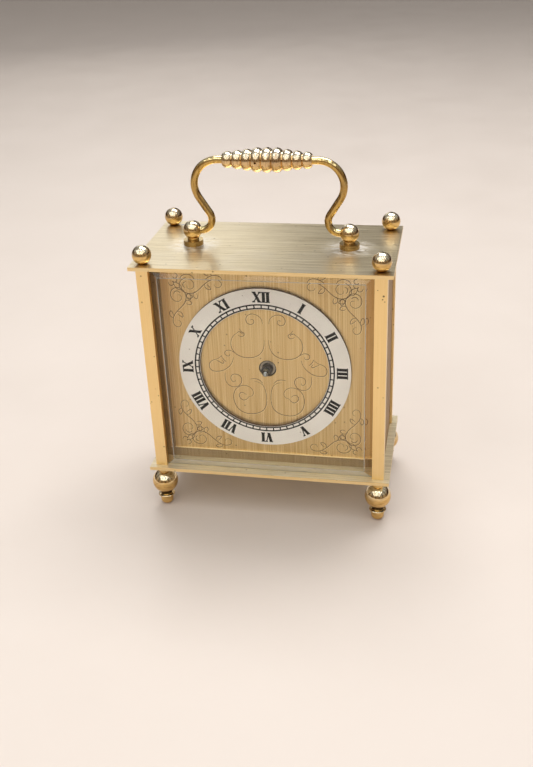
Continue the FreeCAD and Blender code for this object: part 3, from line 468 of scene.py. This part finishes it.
class Finish(Nodes):
    """A material with its node tree, and short calls for the patterns that finishes share."""

    def __init__(self, name):
        self.material = bpy.data.materials.new(name)
        self.material.use_nodes = True
        super().__init__(self.material.node_tree)
        self.surface = self.tree.nodes["Principled BSDF"]
        self.place = self.add("ShaderNodeTexCoord").outputs["Object"]

    def scaled(self, scale):
        """The place on the object, scaled per axis."""
        mapping = self.add("ShaderNodeMapping")
        self.feed(mapping.inputs["Vector"], self.place)
        mapping.inputs["Scale"].default_value = scale
        return mapping.outputs["Vector"]

    def noise(self, scale, detail=2.0, roughness=0.5):
        """Noise whose grain is given per axis, in cells per metre."""
        node = self.add("ShaderNodeTexNoise")
        self.feed(node.inputs["Vector"], self.scaled(scale))
        node.inputs["Scale"].default_value = 1.0
        node.inputs["Detail"].default_value = detail
        node.inputs["Roughness"].default_value = roughness
        return node.outputs["Fac"]

    def specks(self, scale, size):
        """1 in small scattered dots and 0 elsewhere."""
        node = self.add("ShaderNodeTexVoronoi")
        self.feed(node.inputs["Vector"], self.scaled((scale, scale, scale)))
        node.inputs["Scale"].default_value = 1.0
        return self.span(node.outputs["Distance"], size, size * 0.5, 0.0, 1.0)

    def strokes(self, fine, coarse, share):
        """Two layers of brush strokes as one height, with the share of the fine one."""
        fine_part = self.maths("MULTIPLY", fine, share)
        return self.maths("ADD", fine_part, self.maths("MULTIPLY", coarse, 1 - share))

    def near(self, spot, inner, outer):
        """1 within the inner distance of a spot, falling to 0 at the outer one."""
        node = self.add("ShaderNodeVectorMath", operation="DISTANCE")
        self.feed(node.inputs[0], self.place)
        node.inputs[1].default_value = spot
        return self.span(node.outputs["Value"], inner, outer, 1.0, 0.0)

    def bump(self, height, strength, distance):
        """A normal that follows a height, with the full height's depth in metres."""
        node = self.add("ShaderNodeBump")
        self.feed(node.inputs["Height"], height)
        node.inputs["Strength"].default_value = strength
        node.inputs["Distance"].default_value = distance
        return node.outputs["Normal"]

    def facing(self, axis):
        """The size of the surface normal along one axis, in the row frame."""
        normal = self.add("ShaderNodeSeparateXYZ")
        self.feed(normal.inputs[0], self.add("ShaderNodeNewGeometry").outputs["Normal"])
        return normal.outputs[axis]

    def coordinate(self, axis):
        """The place along one axis."""
        parts = self.add("ShaderNodeSeparateXYZ")
        self.feed(parts.inputs[0], self.place)
        return parts.outputs[axis]

    def tone(self):
        """The colour that now feeds the shader."""
        return self.surface.inputs["Base Color"].links[0].from_socket

    def uneven(self, texture, limits):
        """A value that a texture moves between two limits."""
        return self.span(texture, *NOISE_SPAN, *limits)

    def set(self, **values):
        """Sets sockets of the Principled shader, by name with underscores for spaces."""
        for key, value in values.items():
            self.feed(self.surface.inputs[key.replace("_", " ")], value)


BRUSH_FINE = 5200
BRUSH_COARSE = 1400
BRUSH_RUN = 22
TARNISH_SHARE = 0.25
DENT_DEPTH = 0.00011
PRINT_DEPTH = 0.00001


def grain(axis, across, along):
    """Noise scales for strokes that run along one axis."""
    scale = [across] * 3
    scale[axis] = along
    return tuple(scale)


def brushed(name, dark, light, tarnish, axis, roughness, contrast):
    """Brass brushed along one axis, with fine and coarse strokes and light tarnish."""
    finish = Finish(name)
    fine = finish.noise(grain(axis, BRUSH_FINE, BRUSH_RUN), detail=3.0, roughness=0.65)
    coarse = finish.noise(grain(axis, BRUSH_COARSE, BRUSH_RUN / 2), detail=2.0)
    clouds = finish.noise((38, 38, 38), detail=4.0, roughness=0.6)
    strokes = finish.strokes(fine, coarse, 0.6)
    level = finish.span(strokes, 0.5 - contrast, 0.5 + contrast, 0.0, 1.0)
    colour = finish.mix(level, linear(dark), linear(light))
    cloud_level = finish.span(clouds, 0.5, 0.8, 0.0, TARNISH_SHARE)
    colour = finish.mix(cloud_level, colour, linear(tarnish))
    dots = finish.maths("MULTIPLY", finish.specks(230, 0.11), 0.55)
    finish.set(
        Base_Color=finish.mix(dots, colour, linear((70, 48, 22))),
        Metallic=1.0,
        Roughness=finish.uneven(strokes, roughness),
        Normal=finish.bump(strokes, 0.35, 0.00004),
    )
    return finish


def polished(name, painted_lit_upper, painted_shaded_under, stain, roughness, axis=Z_AXIS):
    """Lacquered turned brass: painted light on top and painted shade below, with turning marks and
    spots.
    """
    finish = Finish(name)
    clouds = finish.noise((160, 160, 160), detail=4.0, roughness=0.6)
    marks = finish.noise(tuple(2600 if k == axis else 320 for k in range(3)), detail=2.0)
    dimples = finish.noise((430, 430, 430), detail=2.0)
    # Painted light and shade: faces that look up take the pale upper colour, faces that look down
    # the deeper one.
    top = finish.span(finish.maths("ADD", finish.facing("Z"), clouds), 0.55, 1.15, 0.0, 1.0)
    tone = finish.mix(top, linear(painted_shaded_under), linear(painted_lit_upper))
    tone = finish.mix(finish.span(clouds, 0.5, 0.8, 0.0, 0.7), tone, linear(stain))
    tone = finish.mix(finish.span(marks, 0.5, 0.7, 0.0, 0.6), tone, linear(stain))
    spots = finish.maths("MULTIPLY", finish.specks(420, 0.1), 0.6)
    finish.set(
        Base_Color=finish.mix(spots, tone, linear((72, 46, 18))),
        Metallic=1.0,
        Roughness=finish.span(clouds, 0.35, 0.75, *roughness),
        Normal=finish.bump(finish.strokes(marks, dimples, 0.15), 0.6, DENT_DEPTH),
    )
    return finish


# The heights in metres between which the feet's grooves get painted shade.
FOOT_GROOVE_SHADE = (0.0052, 0.0075), (0.0041, 0.0047)


def foot_finish():
    """Foot brass: the polished finish with painted shade darkening its grooves."""
    finish = polished("foot_brass", (244, 232, 200), (228, 190, 122), (150, 108, 56), (0.02, 0.07))
    tone = finish.tone()
    height = finish.coordinate("Z")
    for low, high in FOOT_GROOVE_SHADE:
        soft = (high - low) * 0.3
        above = finish.span(height, low, low + soft, 0.0, 1.0)
        below = finish.span(height, high - soft, high, 1.0, 0.0)
        groove_shade = finish.maths("MULTIPLY", finish.maths("MULTIPLY", above, below), 0.95)
        # Painted shade in the groove.
        tone = finish.mix(groove_shade, tone, linear((44, 28, 12)))
    finish.set(Base_Color=tone)
    return finish


def plastic(name, colour, shade, roughness):
    """Moulded plastic with a fine spark-eroded texture."""
    finish = Finish(name)
    texture = finish.noise((1800, 1800, 1800), detail=2.0)
    clouds = finish.noise((90, 90, 90), detail=3.0)
    finish.set(
        Base_Color=finish.mix(clouds, linear(colour), linear(shade)),
        Roughness=finish.uneven(texture, roughness),
        Normal=finish.bump(texture, 0.3, 0.00005),
    )
    return finish


def steel(name, colour, shade, roughness, axis):
    """Turned or rolled steel with fine marks along one axis."""
    finish = Finish(name)
    lines = finish.noise(grain(axis, 3600, 60), detail=2.0)
    clouds = finish.noise((300, 300, 300), detail=3.0)
    finish.set(
        Base_Color=finish.mix(clouds, linear(colour), linear(shade)),
        Metallic=1.0,
        Roughness=finish.uneven(lines, roughness),
        Normal=finish.bump(lines, 0.3, 0.00003),
    )
    return finish


COLLARS = [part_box(f"handle_collar_{side}") for side in ("left", "right")]
HAZE_SPREAD = (0.003, 0.013)


def plate_finish(name, metal):
    """Top and base plates: pale brushed faces with polish haze round the handle's collars."""
    finish = Finish(name)
    fine = finish.noise(grain(X_AXIS, 5600, 45), detail=4.0, roughness=0.75)
    coarse = finish.noise(grain(X_AXIS, 2300, 16), detail=3.0)
    clouds = finish.noise((45, 45, 45), detail=4.0, roughness=0.6)
    smears = finish.noise((240, 420, 240), detail=5.0, roughness=0.7)
    strokes = finish.strokes(fine, coarse, 0.65)
    level = finish.span(strokes, 0.36, 0.64, 0.0, 1.0)
    face = finish.mix(level, linear((184, 166, 126)), linear((250, 240, 212)))
    face = finish.mix(finish.span(clouds, 0.5, 0.75, 0.0, 0.4), face, linear((222, 214, 196)))
    feet = [((low.x + high.x) / 2, (low.y + high.y) / 2, low.z) for low, high in COLLARS]
    close = finish.maths("MAXIMUM", *[finish.near(foot, *HAZE_SPREAD) for foot in feet])
    haze = finish.maths("MULTIPLY", close, finish.span(smears, 0.4, 0.58, 0.0, 0.9))
    face = finish.mix(haze, face, linear((248, 246, 244)))
    edge = finish.mix(level, linear((232, 196, 132)), linear((252, 224, 168)))
    flat = finish.span(finish.maths("ABSOLUTE", finish.facing("Z")), 0.5, 0.8, 0.0, 1.0)
    dots = finish.maths("MULTIPLY", finish.specks(210, 0.1), 0.6)
    finish.set(
        Base_Color=finish.mix(dots, finish.mix(flat, edge, face), linear((84, 62, 34))),
        Metallic=finish.maths(
            "MULTIPLY",
            finish.span(haze, 0.0, 1.0, metal, 0.0),
            finish.span(flat, 0.0, 1.0, 0.3, 1.0),
        ),
        Roughness=finish.uneven(strokes, (0.24, 0.4)),
        Normal=finish.bump(strokes, 0.45, 0.00004),
    )
    return finish


# Across the pillar from its left edge, height and radius, in millimetres.
PILLAR_SPOTS = ((3.7, 110.7, 0.42), (3.3, 109.3, 0.3), (4.2, 108.3, 0.22), (1.3, 113.2, 0.2))


def pillar_finish():
    """Pillar brass, with a few dark spots near the top of the front right pillar."""
    finish = brushed(
        "pillar_brass",
        (240, 206, 142),
        (252, 222, 164),
        (228, 192, 130),
        Z_AXIS,
        (0.26, 0.38),
        0.31,
    )
    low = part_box("pillar_front_right")[0]
    tone = finish.tone()
    for across, height, radius in PILLAR_SPOTS:
        spot = (low.x + across * MM, low.y, height * MM)
        mark = finish.near(spot, radius * MM * 0.6, radius * MM * 1.3)
        tone = finish.mix(finish.maths("MULTIPLY", mark, 0.85), tone, linear((40, 28, 16)))
    finish.set(Base_Color=tone)
    return finish


def dial_finish():
    """Dial plate: tan gold with clear upright brush lines and a few spots."""
    finish = Finish("dial_gold")
    fine = finish.noise(grain(Z_AXIS, 4300, 14), detail=2.0, roughness=0.7)
    coarse = finish.noise(grain(Z_AXIS, 2200, 9), detail=2.0, roughness=0.6)
    clouds = finish.noise((30, 30, 30), detail=3.0)
    strokes = finish.strokes(fine, coarse, 0.7)
    level = finish.span(strokes, 0.36, 0.64, 0.0, 1.0)
    colour = finish.mix(level, linear((200, 156, 92)), linear((248, 223, 173)))
    colour = finish.mix(finish.span(clouds, 0.45, 0.7, 0.0, 0.3), colour, linear((228, 186, 130)))
    dots = finish.maths("MULTIPLY", finish.specks(190, 0.09), 0.6)
    finish.set(
        Base_Color=finish.mix(dots, colour, linear((96, 62, 26))),
        Metallic=0.8,
        Roughness=finish.uneven(strokes, (0.3, 0.46)),
        Normal=finish.bump(strokes, 0.5, 0.00004),
    )
    return finish


def border_finish():
    """Dial border: a duller strip of the dial's brass, with a painted highlight on its
    upward-facing faces.
    """
    finish = brushed(
        "bronze_trim", (150, 124, 90), (192, 168, 132), (138, 114, 82), Z_AXIS, (0.38, 0.52), 0.22
    )
    tone = finish.tone()
    # Painted highlight: faces that look up are lightened towards pale cream.
    painted_lit_upper = finish.span(finish.facing("Z"), 0.6, 0.9, 0.0, 1.0)
    finish.set(Base_Color=finish.mix(painted_lit_upper, tone, linear((255, 240, 206))), Metallic=0.6)
    return finish


def silvered_finish():
    """Chapter ring: silvered and lacquered, with a faint uneven tone and specks, and painted shade
    on its side edges.
    """
    finish = Finish("silvered_ring")
    clouds = finish.noise((55, 55, 55), detail=4.0, roughness=0.55)
    fine = finish.noise(grain(Z_AXIS, 2600, 40), detail=2.0)
    tone = finish.span(clouds, 0.35, 0.7, 0.0, 1.0)
    colour = finish.mix(tone, linear((255, 248, 246)), linear((248, 240, 238)))
    dots = finish.maths("MULTIPLY", finish.specks(160, 0.055), 0.8)
    colour = finish.mix(dots, colour, linear((120, 96, 84)))
    # Painted shade: faces that don't look to the front, the ring's side edges, take a dark brown.
    face = finish.span(finish.maths("ABSOLUTE", finish.facing("Y")), 0.6, 0.9, 0.0, 1.0)
    finish.set(
        Base_Color=finish.mix(face, linear((74, 50, 28)), colour),
        Metallic=0.12,
        Roughness=finish.uneven(clouds, (0.3, 0.42)),
        Normal=finish.bump(fine, 0.12, 0.00002),
    )
    return finish


def threaded(finish, pitch, dark):
    """Dark rings along Y over a finish, as on a threaded or grooved round: painted shade in the
    valleys, with a matching bump.
    """
    tone = finish.tone()
    turns = finish.maths("MULTIPLY", finish.coordinate("Y"), 2 * math.pi / pitch)
    wave = finish.span(finish.maths("SINE", turns), -0.5, 0.5, 0.0, 1.0)
    flat = finish.span(finish.maths("ABSOLUTE", finish.facing("Y")), 0.8, 0.95, 0.0, 1.0)
    wave = finish.maths("MAXIMUM", wave, flat)
    finish.set(
        # The dark colour is painted shade in the thread's valleys.
        Base_Color=finish.mix(wave, linear(dark), tone),
        Normal=finish.bump(wave, 0.8, 0.00008),
    )
    return finish


def bush_finish():
    """Centre bush: dull zinc, with painted shade where it meets the dial's hole and round the hour
    pipe.
    """
    finish = steel("zinc_bush", (206, 190, 172), (160, 144, 128), (0.35, 0.5), Y_AXIS)
    tone = finish.tone()
    low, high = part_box("centre_bush")
    front = ((low.x + high.x) / 2, low.y, (low.z + high.z) / 2)
    radius = (high.x - low.x) / 2
    rim_shade = finish.near(front, radius * 0.88, radius * 0.96)
    pipe_shade = finish.near(front, radius * 0.58, radius * 0.66)
    # Painted shade: a dark ring at the hole's edge and another round the pipe.
    tone = finish.mix(rim_shade, linear((24, 20, 18)), tone)
    finish.set(Base_Color=finish.mix(pipe_shade, tone, linear((30, 26, 24))), Metallic=0.3)
    return finish


def print_finish(name, colour, shade, roughness):
    """Printed or filled lines, slightly uneven; also the painted highlight lines beside the cuts
    and along the pane's bevel.
    """
    finish = Finish(name)
    ink = finish.noise((900, 900, 900), detail=3.0)
    finish.set(
        Base_Color=finish.mix(finish.span(ink, 0.35, 0.7, 0.0, 1.0), linear(colour), linear(shade)),
        Roughness=finish.uneven(ink, roughness),
        Normal=finish.bump(ink, 0.25, PRINT_DEPTH),
    )
    return finish


def glass_finish():
    """Clear glass with faint smears, ground edges and a painted reflection tint on its side bevels;
    it lets lamps through to the dial.
    """
    finish = Finish("clear_glass")
    smears = finish.noise((60, 60, 20), detail=4.0, roughness=0.6)
    grit = finish.noise((2200, 2200, 2200), detail=2.0)
    sides = [finish.maths("ABSOLUTE", finish.facing(axis)) for axis in "XZ"]
    slope = finish.maths("MAXIMUM", *sides)
    bevel = finish.span(finish.facing("Z"), -0.4, -0.25, 1.0, 0.0)
    # Painted reflection: the side bevels get a warm brown tint in place of the dark surroundings
    # they would mirror.
    flank_reflection_tint = finish.span(sides[0], 0.25, 0.4, 0.0, 1.0)
    ground = finish.span(slope, 0.8, 0.95, 0.0, 1.0)
    tint = finish.mix(smears, linear((252, 253, 250)), linear((246, 248, 244)))
    clear_roughness = finish.span(smears, 0.45, 0.8, 0.0, 0.03)
    finish.set(
        Base_Color=finish.mix(flank_reflection_tint, tint, linear((206, 178, 146))),
        Roughness=finish.maths("MAXIMUM", clear_roughness, finish.maths("MULTIPLY", ground, 0.5)),
        IOR=1.32,
        Transmission_Weight=finish.span(finish.strokes(bevel, ground, 0.4), 0.0, 1.0, 1.0, 0.3),
        Normal=finish.bump(finish.maths("MULTIPLY", grit, ground), 0.2, 0.00002),
    )
    clear = finish.add("ShaderNodeBsdfTransparent")
    clear.inputs["Color"].default_value = linear((246, 247, 243))
    ray = finish.add("ShaderNodeLightPath").outputs["Is Shadow Ray"]
    blend = finish.add("ShaderNodeMixShader")
    output = finish.tree.nodes["Material Output"]
    finish.feed(blend.inputs[0], ray)
    finish.feed(blend.inputs[1], finish.surface.outputs["BSDF"])
    finish.feed(blend.inputs[2], clear.outputs["BSDF"])
    finish.feed(output.inputs["Surface"], blend.outputs["Shader"])
    return finish


def floor_finish():
    """A pale, lightly mottled table top."""
    finish = Finish("pale_table")
    mottle = finish.noise((14, 14, 14), detail=5.0, roughness=0.6)
    finish.set(
        Base_Color=finish.mix(mottle, linear((216, 205, 196)), linear((224, 214, 206))),
        Roughness=finish.uneven(mottle, (0.55, 0.7)),
        Normal=finish.bump(mottle, 0.1, 0.0005),
    )
    return finish


def winding_finish():
    """Enamelled copper wire, laid turn beside turn."""
    finish = Finish("copper_winding")
    turns = finish.add("ShaderNodeTexWave", bands_direction="X")
    finish.feed(turns.inputs["Vector"], finish.scaled((1, 1, 1)))
    turns.inputs["Scale"].default_value = 1100.0
    turns.inputs["Distortion"].default_value = 0.6
    height = turns.outputs["Fac"]
    finish.set(
        Base_Color=finish.mix(height, linear((110, 46, 22)), linear((196, 98, 54))),
        Metallic=0.8,
        Roughness=finish.span(height, 0.0, 1.0, 0.42, 0.26),
        Normal=finish.bump(height, 0.6, 0.00004),
    )
    return finish


def board_finish():
    """Green solder mask over copper tracks."""
    finish = Finish("circuit_board")
    tracks = finish.add("ShaderNodeTexBrick")
    finish.feed(tracks.inputs["Vector"], finish.scaled((520, 520, 520)))
    tracks.inputs["Scale"].default_value = 1.0
    tracks.inputs["Color1"].default_value = linear((20, 92, 52))
    tracks.inputs["Color2"].default_value = linear((24, 104, 60))
    tracks.inputs["Mortar"].default_value = linear((12, 62, 36))
    weave = finish.noise((2400, 2400, 2400), detail=2.0)
    finish.set(
        Base_Color=tracks.outputs["Color"],
        Roughness=finish.uneven(weave, (0.3, 0.46)),
        Normal=finish.bump(weave, 0.25, 0.00003),
    )
    return finish


BATTERY_BODY = 0.72
BATTERY_EDGE = 0.0002


def battery_finish():
    """A plain two-tone battery sleeve: dark body, copper-coloured band at the positive end."""
    finish = Finish("battery_wrap")
    low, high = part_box("battery")
    length_axis = X_AXIS if (high - low).x > (high - low).z else Z_AXIS
    along = finish.coordinate("XYZ"[length_axis])
    split = low[length_axis] + (high - low)[length_axis] * BATTERY_BODY
    band = finish.span(along, split, split + BATTERY_EDGE, 0.0, 1.0)
    scuffs = finish.noise((400, 400, 400), detail=3.0)
    body = finish.mix(scuffs, linear((34, 38, 46)), linear((46, 50, 60)))
    collar = finish.mix(scuffs, linear((176, 112, 62)), linear((196, 130, 76)))
    finish.set(
        Base_Color=finish.mix(band, body, collar),
        Metallic=0.35,
        Roughness=finish.uneven(scuffs, (0.22, 0.34)),
        Normal=finish.bump(scuffs, 0.15, 0.00003),
    )
    return finish


plate_brass = plate_finish("top_plate_brass", 1.0)
base_brass = plate_finish("base_plate_brass", 0.45)
pillar_brass = pillar_finish()
panel_brass = brushed(
    "panel_brass", (132, 100, 60), (168, 132, 84), (110, 82, 50), Z_AXIS, (0.42, 0.56), 0.24
)
panel_brass.set(Metallic=0.45, Specular_IOR_Level=0.25)
door_brass = brushed(
    "door_brass", (182, 148, 90), (224, 190, 126), (150, 116, 70), Z_AXIS, (0.26, 0.4), 0.24
)
bronze = border_finish()
ball_brass = polished(
    "ball_brass", (246, 236, 208), (230, 192, 124), (150, 108, 56), (0.02, 0.06)
)
handle_brass = polished(
    "handle_brass", (234, 216, 162), (200, 164, 96), (134, 98, 46), (0.1, 0.2), X_AXIS
)
grip_brass = polished(
    "grip_brass", (240, 228, 202), (226, 194, 144), (160, 122, 80), (0.05, 0.12), X_AXIS
)
collar_brass = polished(
    "collar_brass", (210, 188, 138), (186, 152, 92), (120, 90, 48), (0.2, 0.32)
)
plain_brass = polished("plain_brass", (214, 184, 124), (190, 154, 92), (150, 116, 66), (0.2, 0.32))
foot_brass = foot_finish()
silvered = silvered_finish()
dial_gold = dial_finish()
black_ink = print_finish("black_ink", (8, 8, 9), (20, 19, 20), (0.55, 0.75))
black_ink.set(Specular_IOR_Level=0.15)
cut_line = print_finish("cut_line", (104, 74, 40), (140, 104, 60), (0.45, 0.65))
# Painted highlight beside each engraved cut line.
painted_cut_glint = print_finish("painted_cut_glint", (244, 212, 158), (255, 230, 182), (0.3, 0.4))
painted_cut_glint.set(Metallic=0.6)
# A pale, partly clear painted highlight along the pane's arris.
painted_arris_highlight = print_finish("painted_arris_highlight", (236, 236, 230), (214, 216, 208), (0.1, 0.2))
painted_arris_highlight.set(Transmission_Weight=0.55)
zinc = bush_finish()
bright_steel = steel("bright_steel", (190, 192, 196), (140, 142, 148), (0.14, 0.26), Y_AXIS)
arbor_steel = threaded(
    steel("arbor_steel", (206, 212, 218), (164, 168, 174), (0.35, 0.5), Y_AXIS),
    0.0012,
    (60, 58, 56),
)
lamination = steel("stator_steel", (150, 152, 156), (112, 114, 118), (0.3, 0.5), X_AXIS)
black_plastic = plastic("black_plastic", (26, 26, 28), (36, 36, 38), (0.42, 0.6))
pipe_plastic = threaded(
    plastic("pipe_plastic", (70, 62, 54), (50, 44, 38), (0.35, 0.5)), 0.0009, (4, 4, 4)
)
white_plastic = plastic("white_plastic", (226, 224, 214), (214, 211, 200), (0.35, 0.5))
gear_plastic = plastic("gear_plastic", (206, 206, 202), (188, 188, 182), (0.3, 0.45))
table = floor_finish()
glass = glass_finish()

FINISHES = {
    "top_plate": plate_brass,
    "base_plate": base_brass,
    "pillar_": pillar_brass,
    "side_panel_": panel_brass,
    "rear_door": door_brass,
    "door_pin_": bright_steel,
    "door_knob": ball_brass,
    "door_stop": plain_brass,
    "foot_": foot_brass,
    "finial_": ball_brass,
    "front_glass": glass,
    "handle_post_": ball_brass,
    "handle_collar_": collar_brass,
    "handle_nut_": plain_brass,
    "handle_rod": handle_brass,
    "handle_grip": grip_brass,
    "dial_plate": dial_gold,
    "dial_border_": bronze,
    "dial_block_": plain_brass,
    "chapter_ring": silvered,
    "movement_case": black_plastic,
    "movement_bridge": black_plastic,
    "movement_cover": black_plastic,
    "centre_bush": zinc,
    "minute_arbor": arbor_steel,
    "hour_wheel": pipe_plastic,
    "minute_wheel": gear_plastic,
    "setting_knob": gear_plastic,
    "drive_wheel": gear_plastic,
    "third_wheel": gear_plastic,
    "seconds_wheel": gear_plastic,
    "intermediate_wheel": white_plastic,
    "rotor": white_plastic,
    "stator": lamination,
    "coil_core": lamination,
    "coil_winding": winding_finish(),
    "circuit_board": board_finish(),
    "battery": battery_finish(),
    "contact_": bright_steel,
}


def finish_for(node):
    """The finish of a CAD node, by its whole name or by the start of it."""
    if node in FINISHES:
        return FINISHES[node]
    for start, finish in FINISHES.items():
        if start.endswith("_") and node.startswith(start):
            return finish
    raise KeyError(node)


for name, obj in NODES.items():
    obj.data.materials.clear()
    obj.data.materials.append(finish_for(name).material)

engraving.build(cut_line.material)
glints.build(painted_cut_glint.material)
pane_arris_highlight.build(painted_arris_highlight.material)
track.build(black_ink.material)
numerals.build(black_ink.material)


# ---------------------------------------------------------------- floor, light and camera


# Where the table top is divided, in metres: finely near the clock.
FLOOR_LINES = (-12.0, -3.0, -1.0, -0.4, 0.0, 0.4, 1.0, 3.0, 12.0)


def make_floor():
    """A wide flat table top."""
    verts = [(x, y, 0.0) for y in FLOOR_LINES for x in FLOOR_LINES]
    row = len(FLOOR_LINES)
    faces = []
    for j in range(row - 1):
        for i in range(row - 1):
            a = j * row + i
            faces.append([a, a + 1, a + row + 1, a + row])
    mesh = bpy.data.meshes.new("table_top")
    mesh.from_pydata(verts, [], faces)
    mesh.materials.append(table.material)
    obj = bpy.data.objects.new("table_top", mesh)
    bpy.context.scene.collection.objects.link(obj)


ROOM_BEHIND = [
    (0.0, (69, 46, 35)),
    (0.2, (75, 55, 44)),
    (0.38, (149, 142, 134)),
    (0.6, (172, 171, 169)),
    (1.0, (200, 201, 204)),
]
ROOM_IN_FRONT = [
    (0.0, (160, 138, 112)),
    (0.3, (166, 146, 122)),
    (0.45, (168, 162, 154)),
    (0.9, (176, 172, 166)),
    (1.0, (200, 201, 204)),
]
# Between these values of a direction's Y, the wall in front blends into the one behind.
FRONT_TO_BACK = (-0.25, 0.25)
BARS = 11
BAR_SHARE = 0.4
BAR_DARK = 0.1
# The dark shape of whoever looks at the clock: its direction, edge and darkness.
VIEWER = (0.18, -0.86, 0.47)
VIEWER_EDGE = (0.1, 0.2)
VIEWER_DARK = 0.15


def wall(sky, height, stops):
    """A wall's colour from the floor to straight up, through the given stops."""
    ramp = sky.add("ShaderNodeValToRGB")
    sky.feed(ramp.inputs["Fac"], height)
    elements = ramp.color_ramp.elements
    for element, (position, colour) in zip(elements, (stops[0], stops[-1])):
        element.position = position
        element.color = linear(colour)
    for position, colour in stops[1:-1]:
        elements.new(position).color = linear(colour)
    return ramp.outputs["Color"]


def make_sky():
    """A soft room: paler in front of the clock than behind, with dark bars and a viewer."""
    world = bpy.data.worlds.new("soft_room")
    bpy.context.scene.world = world
    world.use_nodes = True
    sky = Nodes(world.node_tree)
    background = sky.tree.nodes["Background"]
    direction = sky.add("ShaderNodeTexCoord").outputs["Generated"]
    parts = sky.add("ShaderNodeSeparateXYZ")
    sky.feed(parts.inputs[0], direction)
    front = wall(sky, parts.outputs["Z"], ROOM_IN_FRONT)
    behind = wall(sky, parts.outputs["Z"], ROOM_BEHIND)
    side = sky.span(parts.outputs["Y"], *FRONT_TO_BACK, 0.0, 1.0)
    sky.feed(background.inputs["Color"], sky.mix(side, front, behind))
    angle = sky.maths("ARCTAN2", parts.outputs["X"], parts.outputs["Y"])
    turn = sky.maths("PINGPONG", angle, math.pi / BARS)
    bars = sky.span(turn, 0.0, math.pi / BARS * BAR_SHARE, BAR_DARK, 1.0)
    apart = sky.add("ShaderNodeVectorMath", operation="DISTANCE")
    sky.feed(apart.inputs[0], direction)
    apart.inputs[1].default_value = VIEWER
    shade = sky.span(apart.outputs["Value"], *VIEWER_EDGE, VIEWER_DARK, 1.0)
    sky.feed(background.inputs["Strength"], sky.maths("MULTIPLY", bars, shade))


def make_lamp(name, location, aim, size, power, colour):
    """A large soft lamp that points at a spot."""
    data = bpy.data.lights.new(name, "AREA")
    data.shape = "RECTANGLE"
    data.size, data.size_y = size
    data.energy = power
    data.color = colour
    obj = bpy.data.objects.new(name, data)
    obj.location = location
    obj.rotation_euler = (Vector(aim) - Vector(location)).to_track_quat("-Z", "Y").to_euler()
    bpy.context.scene.collection.objects.link(obj)


CAMERA_PLACE = (0.0762, -0.3839, 0.2621)
CAMERA_AZIMUTH = 11.87
CAMERA_ELEVATION = 28.06
CAMERA_ROLL = -2.58
CAMERA_LENS = 44.80
SENSOR_WIDTH = 36.0
CLIP_START = 0.01


def make_camera():
    """The viewpoint: right of centre, looking down, tipped a little."""
    azimuth = math.radians(CAMERA_AZIMUTH)
    elevation = math.radians(CAMERA_ELEVATION)
    roll = math.radians(CAMERA_ROLL)
    forward = Vector(
        (
            -math.sin(azimuth) * math.cos(elevation),
            math.cos(azimuth) * math.cos(elevation),
            -math.sin(elevation),
        )
    )
    level = Vector((math.cos(azimuth), math.sin(azimuth), 0.0))
    upright = level.cross(forward)
    right = level * math.cos(roll) + upright * math.sin(roll)
    up = upright * math.cos(roll) - level * math.sin(roll)
    data = bpy.data.cameras.new("camera")
    data.sensor_width = SENSOR_WIDTH
    data.lens = CAMERA_LENS
    data.clip_start = CLIP_START
    obj = bpy.data.objects.new("camera", data)
    turn = Matrix((right, up, -forward)).transposed().to_4x4()
    obj.matrix_world = Matrix.Translation(CAMERA_PLACE) @ turn
    bpy.context.scene.collection.objects.link(obj)
    bpy.context.scene.camera = obj


STRIP_SPOTS = (-0.74, -0.5, -0.28, -0.08, 0.12, 0.34, 0.58)
STRIP_SIZE = (0.09, 1.7)
STRIP_HEIGHT = 0.82
STRIP_MIDDLE = -0.95
STRIP_POWER = 1.3
STRIP_COLOUR = (1.0, 0.99, 0.97)
# The aim leans this far in metres towards +Y, so that the strips' long side runs along Y.
STRIP_SLOPE = 0.001

CLOCK_MIDDLE = (0.0, 0.0, 0.07)
# Place, size, power and colour of the two lamps that point at the clock's middle.
CEILING = (0.08, 0.42, 1.15), (1.0, 0.6), 11.8, (1.0, 0.985, 0.97)
FAR_WINDOW = (-0.5, 1.15, 0.55), (0.56, 0.5), 0.85, (1.0, 0.98, 0.94)


def make_strips():
    """Long ceiling lights that run from front to back, so round parts show a fan of lines."""
    for number, across in enumerate(STRIP_SPOTS):
        spot = (across, STRIP_MIDDLE, STRIP_HEIGHT)
        below = (across, STRIP_MIDDLE + STRIP_SLOPE, 0.0)
        make_lamp(f"strip_{number}", spot, below, STRIP_SIZE, STRIP_POWER, STRIP_COLOUR)


make_floor()
make_sky()
make_strips()
for name, (location, *settings) in (("ceiling", CEILING), ("far_window", FAR_WINDOW)):
    make_lamp(name, location, CLOCK_MIDDLE, *settings)
make_camera()
bpy.context.scene.view_settings.view_transform = "Standard"
